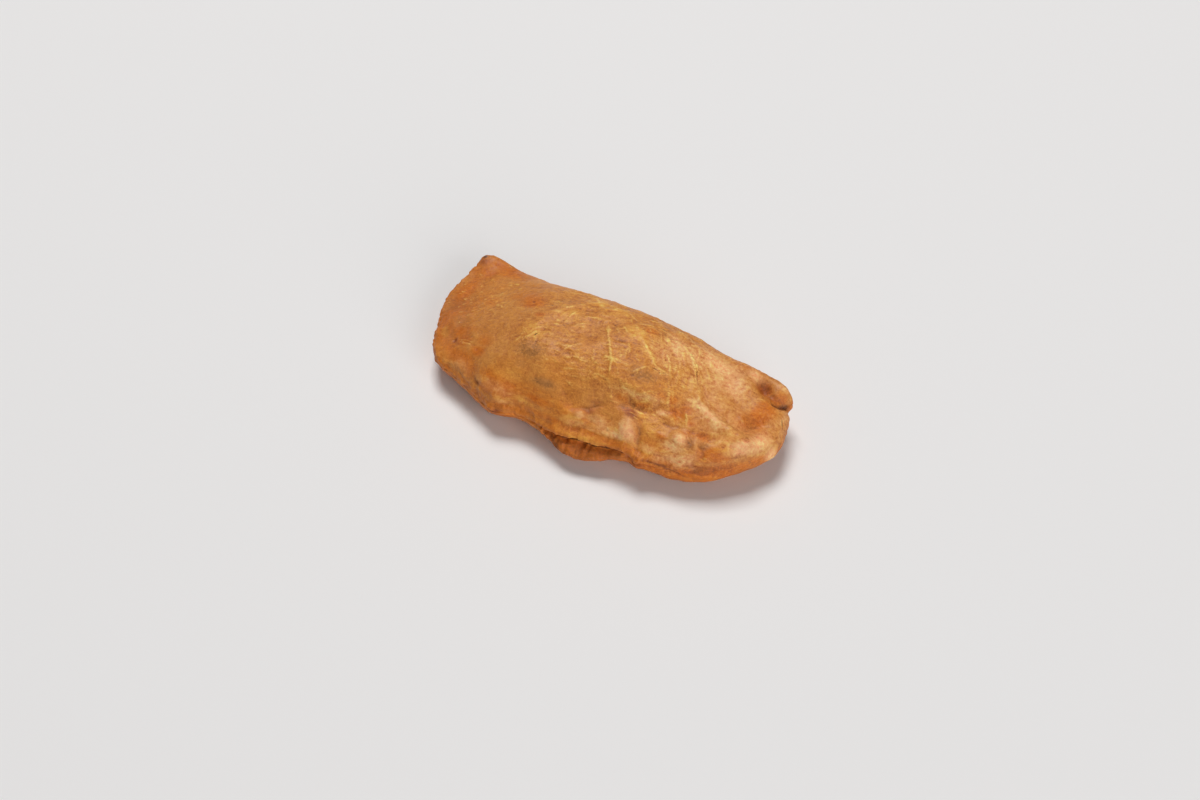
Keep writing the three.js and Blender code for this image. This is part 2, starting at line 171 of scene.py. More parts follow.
CLOUD_PERIOD = 64  # cells after which the lattice of the random slopes repeats
CLOUD_GAIN = 1.6  # brings the smooth random values to about -1 to 1
MASKS = ["toast", "gold", "pale_and_highlight", "grey", "brown_and_shade", "burnt", "flaky", "vein", "crack_shade", "gloss", "rise"]
HIDDEN_SHARE = 0.7  # how far round the edge the crust counts as seen from outside
# The fine relief's height becomes painted shade in its low places and painted light on its high ones.
RISE_SPAN = 2.4  # millimetres of fine relief from the deepest tone to the lightest
WANDER = [(5.0, 0.5, 11), (1.9, 0.22, 21)]  # size, reach and seed of the wandering of lines and patches
TAPER = 1.15  # a line keeps this less 1 of its strength at its two ends
LIP_PLACE, LIP_SHARPNESS = 2, 1.2  # the raised lips beside a line, in its half widths
LEAST_CHANCE = 1e-9  # lets any point be chosen when the mask leaves too few
FADED = 3  # reaches from its middle at which a bump has died away
THREAD_HALF_WIDTH, THREAD_STRENGTH = (0.24, 0.42), (0.4, 1)
THREAD_MARGIN = 1.5  # how far a thread still lifts the crust past its reach


def bell(x):
    return np.exp(-x * x)


def ramp(x, start, end):
    """0 before start, 1 after end, smooth between them; end may be the lower one."""
    t = np.clip((x - start) / (end - start), 0, 1)
    return t * t * (3 - 2 * t)


def fall(share, power, suddenness):
    """1 less a share to a power, all to a second power: 1 in the middle and 0 at a share of 1."""
    return (1 - np.minimum(np.abs(share), 1) ** power) ** suddenness


def through(stations):
    """A smooth curve through (at, value) stations: cubics, with slopes taken between the neighbours."""
    at, value = np.array(stations, float).T
    index = np.arange(len(at))
    before, after = np.maximum(index - 1, 0), np.minimum(index + 1, len(at) - 1)
    slope = (value[after] - value[before]) / (at[after] - at[before])

    def curve(x):
        x = np.clip(x, at[0], at[-1])
        i = np.clip(np.searchsorted(at, x, side="right") - 1, 0, len(at) - 2)
        span = at[i + 1] - at[i]
        t = (x - at[i]) / span
        ends = value[i] * (1 + 2 * t) * (1 - t) ** 2 + value[i + 1] * t * t * (3 - 2 * t)
        return ends + span * (slope[i] * t * (1 - t) ** 2 - slope[i + 1] * t * t * (1 - t))

    return curve


crest, half_edge, gap_place, seam_gap = map(through, (CREST, HALF_EDGE, GAP_PLACE, SEAM_GAP))
upper_lip, lower_lip, lip_sag = through(UPPER_LIP), through(LOWER_LIP), through(LIP_SAG)
front_suddenness = through(FRONT_SUDDENNESS)


def outline_sides():
    """The outline as one closed smooth curve by the distance travelled, cut into its four sides.

    Each side is a function of the share of its own length, from 0 to 1, and gives x and y.
    """
    sides = [FRONT_SEAM, RIGHT_END, BACK_FOLD, LEFT_END]
    loop = np.array(sum(sides, [])) * (HALF_LENGTH, HALF_WIDTH)
    overlap = 2
    run = loop[np.arange(-overlap, len(loop) + overlap + 1) % len(loop)]
    travelled = np.concatenate([[0], np.cumsum(np.hypot(*np.diff(run, axis=0).T))])
    x_at, y_at = (through(np.column_stack([travelled, run[:, axis]])) for axis in (0, 1))
    starts = travelled[overlap + np.cumsum([0] + [len(side) for side in sides])]

    def side(start, end):
        return lambda share: np.stack([f(start + (end - start) * share) for f in (x_at, y_at)], -1)

    return [side(start, end) for start, end in zip(starts[:-1], starts[1:])]


def planform(u, v):
    """The outline filled in: u from the left end to the right one, v from front to back, both -1 to 1.

    Each point is the sum of the two ruled blends between facing sides, less the blend of the four corners.
    """
    front, right, back, left = outline_sides()
    s, t = (1 + u) / 2, (1 + v) / 2
    corners = [side(np.zeros(1)) for side in (front, right, back, left)]
    s2, t2 = s[..., None], t[..., None]
    ruled = front(s) * (1 - t2) + back(1 - s) * t2 + left(1 - t) * (1 - s2) + right(t) * s2
    near = corners[0] * (1 - s2) * (1 - t2) + corners[1] * s2 * (1 - t2)
    far = corners[2] * s2 * t2 + corners[3] * (1 - s2) * t2
    return np.moveaxis(ruled - near - far, -1, 0)


def patch(x, y, middle, reach, turn, lift):
    """Lift of an oval patch: a bell of the distance in shares of its reaches, turned in the plan."""
    angle = math.radians(turn)
    dx, dy = x - middle[0] * HALF_LENGTH, y - middle[1] * HALF_WIDTH
    a = dx * math.cos(angle) + dy * math.sin(angle)
    b = dy * math.cos(angle) - dx * math.sin(angle)
    return lift * bell(np.hypot(a / reach[0], b / reach[1]))


def along_line(points, places):
    """Each point's distance to a broken line, and the share of its pieces passed at the nearest place."""
    distance = np.full(points.shape[:-1], np.inf)
    share = np.zeros(points.shape[:-1])
    for i, (start, end) in enumerate(zip(places[:-1], places[1:])):
        span = end - start
        t = np.clip((points - start) @ span / (span @ span), 0, 1)
        away = np.linalg.norm(points - start - t[..., None] * span, axis=-1)
        nearer = away < distance
        distance = np.where(nearer, away, distance)
        share = np.where(nearer, (i + t) / (len(places) - 1), share)
    return distance, share


def crease(x, y, places, half_width, lift):
    """Lift of a furrow or ridge: a bell across its line in the plan, changing evenly from end to end."""
    scaled = np.array(places) * (HALF_LENGTH, HALF_WIDTH)
    distance, share = along_line(np.stack([x, y], -1), scaled)
    return (lift[0] * (1 - share) + lift[1] * share) * bell(distance / half_width)


def waves(x, y, rows):
    return sum(h * np.sin(2 * math.pi * (x / along + y / across) + phase) for along, across, phase, h in rows)


def seam_height(x, y):
    return SEAM_HEIGHT + FOLD_TILT * y + sum(patch(x, y, *lift) for lift in SEAM_LIFTS)


def top_height(u, v, x, y):
    """The blown-up top: the edge's height, the bulge over it, and its dents, creases and waves."""
    to_front = fall(v, FRONT_FALL, front_suddenness(x / HALF_LENGTH))
    bulge = np.where(v < 0, to_front, fall(v, *BACK_FALL)) * fall(u, *END_FALL)
    inward = np.minimum(1, 2 * (1 - np.maximum(np.abs(u), np.abs(v))))
    relief = sum(patch(x, y, *bump) for bump in BUMPS) + sum(crease(x, y, *line) for line in CREASES)
    edge = seam_height(x, y) + half_edge(x / HALF_LENGTH)
    return edge + PUFF * crest(x / HALF_LENGTH) * bulge + relief + waves(x, y, TOP_WAVES) * inward


def under_height(u, v, x, y):
    """The underside: a bulge to below the floor, turned softly into the flat spot it rests on."""
    across, lengthways, suddenness = UNDER_FALL
    bulge = UNDER_REACH * fall(v, across, suddenness) * fall(u, lengthways, suddenness)
    along = x / HALF_LENGTH
    edge = seam_height(x, y) - half_edge(along) - lip_sag(along) * np.clip(-v, 0, 1) ** 2
    edgewise = 4 * bulge * (UNDER_REACH - bulge) / UNDER_REACH**2
    z = edge * (1 - bulge) + waves(x, y, UNDER_WAVES) * edgewise
    return (z + np.hypot(z, REST_EASE) - REST_EASE) / 2


def spread(steps):
    """Steps from -1 to 1, drawn towards both ends."""
    even = np.linspace(-1, 1, steps + 1)
    return even * (1 - EDGE_CROWDING) + np.sin(even * math.pi / 2) * EDGE_CROWDING


def cloud(points, size, seed):
    """Smooth random values of about -1 to 1: gradient noise on a seeded lattice, size millimetres apart."""
    period = CLOUD_PERIOD
    rng = np.random.default_rng(seed)
    slopes = rng.normal(size=(period, period, period, 3))
    slopes /= np.linalg.norm(slopes, axis=-1)[..., None]
    scaled = points / size + rng.uniform(0, period, 3)
    cell = np.floor(scaled).astype(int)
    share = scaled - cell
    blend = share**3 * (share * (6 * share - 15) + 10)
    total = np.zeros(len(points))
    for corner in np.ndindex(2, 2, 2):
        index = (cell + corner) % period
        weight = np.prod(np.where(corner, blend, 1 - blend), axis=-1)
        total += weight * np.einsum("ij,ij->i", slopes[tuple(index.T)], share - corner)
    return CLOUD_GAIN * total


class Crust:
    """The turnover's plain surface as arrays: every point with its place (u, v, w) on the crust.

    w is 0 over the top, 1 over the underside and runs from 0 to 1 round the edge. The underside has half the
    top's steps, and its outermost cells have the edge's extra points on their rims.
    """

    def __init__(self):
        u, v = np.meshgrid(spread(STEPS_ALONG), spread(STEPS_ACROSS), indexing="ij")
        x, y = planform(u, v)
        top = np.stack([x, y, top_height(u, v, x, y)], -1)
        under = np.stack([x, y, under_height(u, v, x, y)], -1)
        self.edge_i, self.edge_j, self.side = self.border()
        rings, shares = self.edge_rings(top, under)

        i, j = np.indices(u.shape)
        on_edge = (i % STEPS_ALONG == 0) | (j % STEPS_ACROSS == 0)
        kept = on_edge | ((i % 2 == 0) & (j % 2 == 0))
        number = np.full(u.shape, -1)
        first_under = u.size + rings.shape[0] * rings.shape[1]
        number[kept] = first_under + np.arange(kept.sum())

        self.points = np.concatenate([top.reshape(-1, 3), rings.reshape(-1, 3), under[kept]])
        count, border = rings.shape[:2]
        self.u, self.v = (
            np.concatenate([grid.ravel(), np.tile(grid[self.edge_i, self.edge_j], count), grid[kept]])
            for grid in (u, v)
        )
        self.w = np.concatenate([np.zeros(u.size), np.repeat(shares, border), np.ones(kept.sum())])
        top_number = np.arange(u.size).reshape(u.shape)
        self.corners, self.sizes = self.faces(top_number, number, count)

    def border(self):
        """The top grid's border, anticlockwise from the front left corner, and the side each point is on."""
        a, c = STEPS_ALONG, STEPS_ACROSS
        i = np.concatenate([np.arange(a), np.full(c, a), np.arange(a, 0, -1), np.zeros(c, int)])
        j = np.concatenate([np.zeros(a, int), np.arange(c), np.full(a, c), np.arange(c, 0, -1)])
        return i, j, np.repeat([0, 1, 2, 3], [a, c, a, c])

    def edge_rings(self, top, under):
        """Rings of points round the edge, between the top's border and the underside's.

        Each is on a cubic curve that leaves the top along its slope and meets the underside along its own,
        pushed outwards by the lips of the seam and inwards by the gap between its layers.
        """
        i, j = self.edge_i, self.edge_j
        steps = ((i, STEPS_ALONG), (j, STEPS_ACROSS))
        inner = tuple(np.clip(index, EDGE_LEAD, count - EDGE_LEAD) for index, count in steps)
        upper, lower = top[i, j], under[i, j]
        reach = EDGE_ROUNDNESS * (upper[:, 2] - lower[:, 2])[:, None]
        out_of_top, out_of_under = upper - top[inner], lower - under[inner]
        out_of_top *= reach / np.linalg.norm(out_of_top, axis=1)[:, None]
        out_of_under *= reach / np.linalg.norm(out_of_under, axis=1)[:, None]
        ahead = np.roll(upper, -1, axis=0) - np.roll(upper, 1, axis=0)
        outward = np.stack([ahead[:, 1], -ahead[:, 0], np.zeros(len(ahead))], -1)
        outward /= np.linalg.norm(outward, axis=1)[:, None]
        along = upper[:, 0] / HALF_LENGTH
        shares = np.arange(1, STEPS_EDGE) / STEPS_EDGE
        w = shares[:, None, None]
        rounded = (
            upper * (1 + 2 * w) * (1 - w) ** 2
            + out_of_top * w * (1 - w) ** 2
            + lower * w * w * (3 - 2 * w)
            + out_of_under * w * w * (1 - w)
        )
        ragged = cloud(upper, RAGGED_SIZE, 61)
        return rounded + outward * self.layering(shares[:, None], along, ragged)[..., None], shares

    def layering(self, w, along, ragged):
        """How far the edge stands out: a half wave over each layer of the seam, less a bell at the gap."""
        gap = gap_place(along) + RAGGED_REACH * ragged
        above = w < gap
        layer = np.where(above, w / gap, (w - gap) / (1 - gap))
        lip = np.where(above, upper_lip(along), lower_lip(along))
        nose = np.where(above, UPPER_NOSE, LOWER_NOSE)
        front = lip * np.sin(math.pi * layer**nose) - seam_gap(along) * bell((w - gap) / GAP_WIDTH)
        ends = -END_GAP * bell((w - 0.5) / GAP_WIDTH)
        return np.select([self.side == 0, self.side == 2], [front, 0 * w], ends)

    def faces(self, top, under, ring_count):
        """Corner numbers of all faces, one after another, and how many corners each face has."""
        quads = [np.stack([top[:-1, :-1], top[1:, :-1], top[1:, 1:], top[:-1, 1:]], -1).reshape(-1, 4)]
        border = len(self.edge_i)
        between = top.size + np.arange(ring_count * border).reshape(ring_count, border)
        rings = np.vstack([top[self.edge_i, self.edge_j], between, under[self.edge_i, self.edge_j]])
        after = np.roll(rings, -1, axis=1)
        quads.append(np.stack([rings[:-1], rings[1:], after[1:], after[:-1]], -1).reshape(-1, 4))
        quads = np.concatenate(quads)
        # round each cell of the underside, every other point is there only on the edge
        n = slice(None, -1, 2), slice(1, None, 2), slice(2, None, 2)
        round_cell = [(0, 0), (0, 1), (0, 2), (1, 2), (2, 2), (2, 1), (2, 0), (1, 0)]
        cells = np.stack([under[n[a], n[b]] for a, b in round_cell], -1).reshape(-1, len(round_cell))
        present = cells >= 0
        corners = np.concatenate([quads.ravel(), cells[present]])
        sizes = np.concatenate([np.full(len(quads), 4), present.sum(axis=1)])
        return corners, sizes


crust = Crust()


def add_mesh(name, points, corners, sizes):
    """A smooth mesh object from points, the corner numbers of all faces, and each face's corner count."""
    mesh = bpy.data.meshes.new(name)
    mesh.vertices.add(len(points))
    mesh.vertices.foreach_set("co", points.astype(np.float32).ravel())
    mesh.loops.add(len(corners))
    mesh.loops.foreach_set("vertex_index", corners.astype(np.int32))
    mesh.polygons.add(len(sizes))
    mesh.polygons.foreach_set("loop_start", (np.cumsum(sizes) - sizes).astype(np.int32))
    mesh.update(calc_edges=True)
    mesh.polygons.foreach_set("use_smooth", np.ones(len(sizes), bool))
    item = bpy.data.objects.new(name, mesh)
    bpy.context.scene.collection.objects.link(item)
    return item


def vertex_normals(mesh):
    normals = np.zeros(3 * len(mesh.vertices), np.float32)
    mesh.vertex_normals.foreach_get("vector", normals)
    return normals.reshape(-1, 3).astype(float)


class Surface:
    """The crust while its fine relief and its browning are laid on: a lift and masks, one value a point."""

    def __init__(self, crust, normals):
        self.points = crust.points
        self.normals = normals
        self.u, self.v, self.w = crust.u, crust.v, crust.w
        self.x, self.y = crust.points[:, :2].T
        self.lift = np.zeros(len(self.points))
        self.masks = {name: np.zeros(len(self.points)) for name in MASKS}
        outer = np.flatnonzero(self.w < HIDDEN_SHARE)
        self.outer, self.outer_plan = outer, self.points[outer, :2]
        # lines and patches are measured from points that are shifted a little, so that they wander and fray
        self.wandering = self.points.copy()
        for size, reach, seed in WANDER:
            drift = np.stack([cloud(self.points, size, seed + axis) for axis in range(3)], -1)
            self.wandering += reach * drift

    def place(self, x, y):
        """The point nearest to a place in the plan, on the top or on the edge that stands out past it."""
        return self.outer[np.argmin(np.hypot(*(self.outer_plan - (x, y)).T))]

    def oval(self, x, y, along, across, turn=0):
        """A bell round a place, falling off by its two reaches along the surface."""
        n = self.place(x, y)
        angle = math.radians(turn)
        heading = np.array([math.cos(angle), math.sin(angle), 0.0])
        sideways = np.cross(self.normals[n], heading)
        sideways /= np.linalg.norm(sideways)
        heading = np.cross(sideways, self.normals[n])
        offset = self.wandering - self.wandering[n]
        reaches = ((heading, along), (sideways, across), (self.normals[n], max(along, across)))
        return bell(np.sqrt(sum((offset @ axis / reach) ** 2 for axis, reach in reaches)))

    def strand(self, places, half_width):
        """A bell across a line laid over the surface, thinning out towards its two ends, and its two lips."""
        over = np.array([self.wandering[self.place(x, y)] for x, y in places])
        distance, share = along_line(self.wandering, over)
        taper = np.clip(TAPER - (2 * share - 1) ** 4, 0, 1)
        away = distance / half_width
        return bell(away) * taper, bell((away - LIP_PLACE) * LIP_SHARPNESS) * taper

    def mark(self, name, mask, amount):
        """Raises a mask to an amount under a shape, keeping what is higher; a negative amount clears it."""
        if amount < 0:
            self.masks[name] *= 1 + amount * mask
        else:
            self.masks[name] = np.maximum(self.masks[name], amount * mask)


# Raised wrinkles: the places a line passes, half width, lift, and how yellow it has fried.
WRINKLES = [
    ([(-3.5, 6), (-0.7, 2.6), (1.5, -1), (3.9, -4.3), (7.5, -8.5), (9.2, -12), (10, -14.3)], 0.5, 0.4, 1.0),
    ([(10, -14.3), (11.7, -16.4), (13.4, -18.5)], 0.4, 0.2, 0.6),
    ([(11.1, -14), (15.6, -13.1), (19.5, -12.5), (24.1, -12), (27.4, -11)], 0.8, 0.4, 0.35),
    ([(13.7, -9.8), (16.9, -8.6), (19, -5.2), (20.6, -2.7)], 0.4, 0.25, 0.9),
    (
        [(6.1, 10.6), (8.5, 8.2), (13.4, 4.4), (18.8, 1.4), (20.9, -1), (24, -1.4), (27.8, -1.2)],
        0.6, 0.35, 0.9,
    ),
    (
        [(17.5, 11.8), (21.8, 14.3), (26.6, 13.6), (30.9, 11.1), (34.4, 7.6), (38.7, 3.8), (43, 0)],
        0.45, 0.3, 0.7,
    ),
    ([(24.9, 14), (29.7, 11.9), (32.6, 10), (37.2, 6.5), (41.8, 2.2), (45, 0.2), (49.2, -1)], 0.4, 0.25, 0.6),
    ([(20.9, 9.8), (25.6, 6.6), (29.6, 2.3), (33.8, -1.3), (37.3, -4.6)], 0.4, 0.25, 0.6),
    ([(15.3, 8.3), (18.7, 7.5), (22.3, 6.2), (25.8, 2.7), (30.7, -0.7), (33.9, -4.2)], 0.35, 0.2, 0.6),
    ([(-23, 4.7), (-20.2, 7.3), (-17.3, 10.8), (-15, 14.1), (-13, 16)], 0.4, 0.22, 0.8),
    ([(-11.1, 18.5), (-4.5, 16.2), (0.7, 15.9), (6.7, 13.1)], 0.4, 0.2, 0.8),
    ([(-17.8, -1), (-17, 3.5), (-16.5, 7.2)], 0.45, 0.22, 0.8),
    ([(2.7, -0.3), (5, -1.7), (8.5, -0.5), (10.1, -1.3)], 0.3, 0.2, 0.7),
    ([(15.9, -13.4), (21.9, -13), (25.8, -12.3), (29.7, -10.6), (32.9, -10.1)], 1.1, 0.3, 0.3),
    ([(9.7, -0.9), (10.8, -3), (11.4, -5.7)], 0.35, 0.2, 0.8),
    ([(8.2, -6.4), (10.7, -4.9)], 0.3, 0.2, 0.7),
    ([(8.6, -4.6), (10.6, -3.8)], 0.3, 0.2, 0.6),
    ([(-10.1, -15.2), (-7, -14), (-4.6, -13.2), (-1.5, -13.1), (1.8, -12.7)], 0.5, 0.22, 0.6),
    ([(-9, -13.4), (-5, -12), (0, -11.6)], 0.35, 0.15, 0.45),
    ([(-0.9, -18), (2.1, -17.3), (6.1, -16.4)], 0.5, 0.2, 0.5),
    ([(-27.1, -13.6), (-25.7, -12.6), (-24, -8.7)], 0.5, 0.3, 1.0),
    ([(-26.8, -10.5), (-25.2, -7.8), (-23, -5.6)], 0.4, 0.25, 0.9),
    ([(-23.1, -13.8), (-20, -11.5), (-17.5, -10)], 0.4, 0.2, 0.6),
    ([(-16.6, 20.7), (-16.1, 20.3), (-13.5, 17), (-8.5, 12)], 0.7, 0.25, 0.8),
    ([(36, 2.5), (38.5, 0.7), (41.5, -2.5), (44.6, -5.5), (48, -5.8), (52, -5.9), (59, -6)], 1.8, 0.35, 0.2),
    ([(28.5, 6), (31.9, 1.7), (35.5, -2.2), (38, -5)], 0.6, 0.22, 0.4),
    ([(24, 12), (26.4, 8.8), (28.7, 4.8)], 0.45, 0.2, 0.45),
    ([(55.5, 11.4), (60.3, 13.6)], 0.4, 0.2, 0.5),
    ([(55.8, 12.8), (60.5, 15.0)], 0.4, 0.2, 0.5),
    ([(56.5, 10), (61, 12)], 0.4, 0.2, 0.4),
    ([(54.5, 8.8), (58, 9.6)], 0.4, 0.15, 0.4),
]
# Furrows: the places a line passes, half width, depth, and how dark they are made on the brown mask, partly
# browning and partly painted shade in the furrow.
FURROWS = [
    (
        [
            (29, 9.5), (31.5, 7.8), (35.6, 5.7), (41.3, 2.2), (46.4, -0.3), (52.1, -1.8), (56.2, -3.3),
            (58.1, -1.7),
        ],
        0.6, 0.35, 0.3,
    ),
    ([(58.1, -1.7), (61.5, 3.1), (62.6, 7.5)], 1.0, 0.35, 0.3),
    ([(2.3, -25.6), (7, -23.5), (8.8, -21.8), (12.1, -19.9)], 0.7, 0.45, 0.4),
    ([(27.2, -19.6), (28.8, -23.8), (30, -28.6)], 1.0, 0.35, 0.5),
    ([(20.8, -20.4), (25, -20.7), (28, -22.4)], 0.8, 0.25, 0.4),
    ([(32, -29), (37.2, -27.2), (42.4, -26), (49.1, -22.9)], 0.7, 0.45, 0.8),
    ([(17.4, -14.4), (21.1, -15.9), (23.3, -16.2), (26.3, -14.8)], 1.4, 0.35, 0.4),
    ([(61.5, 15.4), (64.7, 17.2), (66.6, 21.8)], 1.2, 1.3, 0.8),
    ([(48, -16.7), (51.7, -17.5), (53, -19.4)], 0.8, 0.3, 0.5),
    ([(44, -12.6), (46.7, -17.5), (47.3, -20.1)], 1.3, 0.4, 0.4),
    ([(32.6, -16.1), (37.7, -15.7), (40.1, -14)], 1.0, 0.4, 0.3),
]
# Cracks: the places a line passes, half width, depth, and how dark the painted shade in them is.
CRACKS = [
    ([(20.6, -2.5), (22.6, -2.2), (24.6, -2.4), (27.3, -0.8)], 0.28, 0.4, 0.6),
    ([(31.2, 10.7), (32.1, 9.9)], 0.26, 0.3, 0.6),
    ([(33.2, 9.0), (34.7, 7.1), (35.8, 6.0)], 0.28, 0.35, 0.7),
    ([(-24.2, -11.7), (-23.6, -9.9)], 0.3, 0.3, 0.7),
    ([(-54.6, -18.4), (-50.6, -18.8), (-47.2, -19.5)], 0.3, 0.2, 0.35),
    ([(-61.7, 27.5), (-59.7, 27.4)], 0.4, 0.2, 0.7),
    ([(67.5, 13.5), (68.8, 11.6), (69.6, 9.8)], 0.4, 0.4, 0.7),
]
# Dents and bumps finer than the solid's, as ovals: lift, place, reach along and across, turn in degrees.
DENTS = [
    (-0.4, 5.5, 0.6, 3.2, 1, 15), (-0.35, -35.3, 5.8, 0.8, 0.6, -40), (-0.8, -56, -18.2, 1.1, 0.8, 60),
    (-0.6, -37.4, -31.3, 1.5, 1), (-0.6, -25.7, -35.8, 1.8, 1), (-0.4, 16.7, -26.4, 0.5, 0.5),
    (0.9, 24, -24.4, 4, 2.2, -80), (-0.6, 15.6, -17.3, 4.4, 2.6, -30), (0.7, 29.5, -20.2, 2.6, 1.7, -30),
    (0.6, 36.3, -20.2, 2.6, 1.8), (0.6, 34.8, -13, 3, 1.8, 40), (0.4, 36.3, -25, 2.8, 1.6),
    (0.6, 48, -21.8, 3.4, 2, 20), (1.3, 31.4, -29.6, 1.5, 1.2), (0.5, 5.3, -27.2, 1.6, 1.4),
    (-0.6, 8.6, -26.2, 2.4, 1.5, 20), (0.7, 42.7, -19, 2.6, 1.8, 10), (-0.6, 46.1, -18.4, 1.8, 1.2, 30),
    (-0.4, 51.8, -16, 2.4, 1.6), (-0.3, -63.5, -1.4, 5, 6), (-0.4, -49.6, -24.4, 6, 3, -20),
    (0.3, 14.6, -31.2, 1.2, 0.9),
]
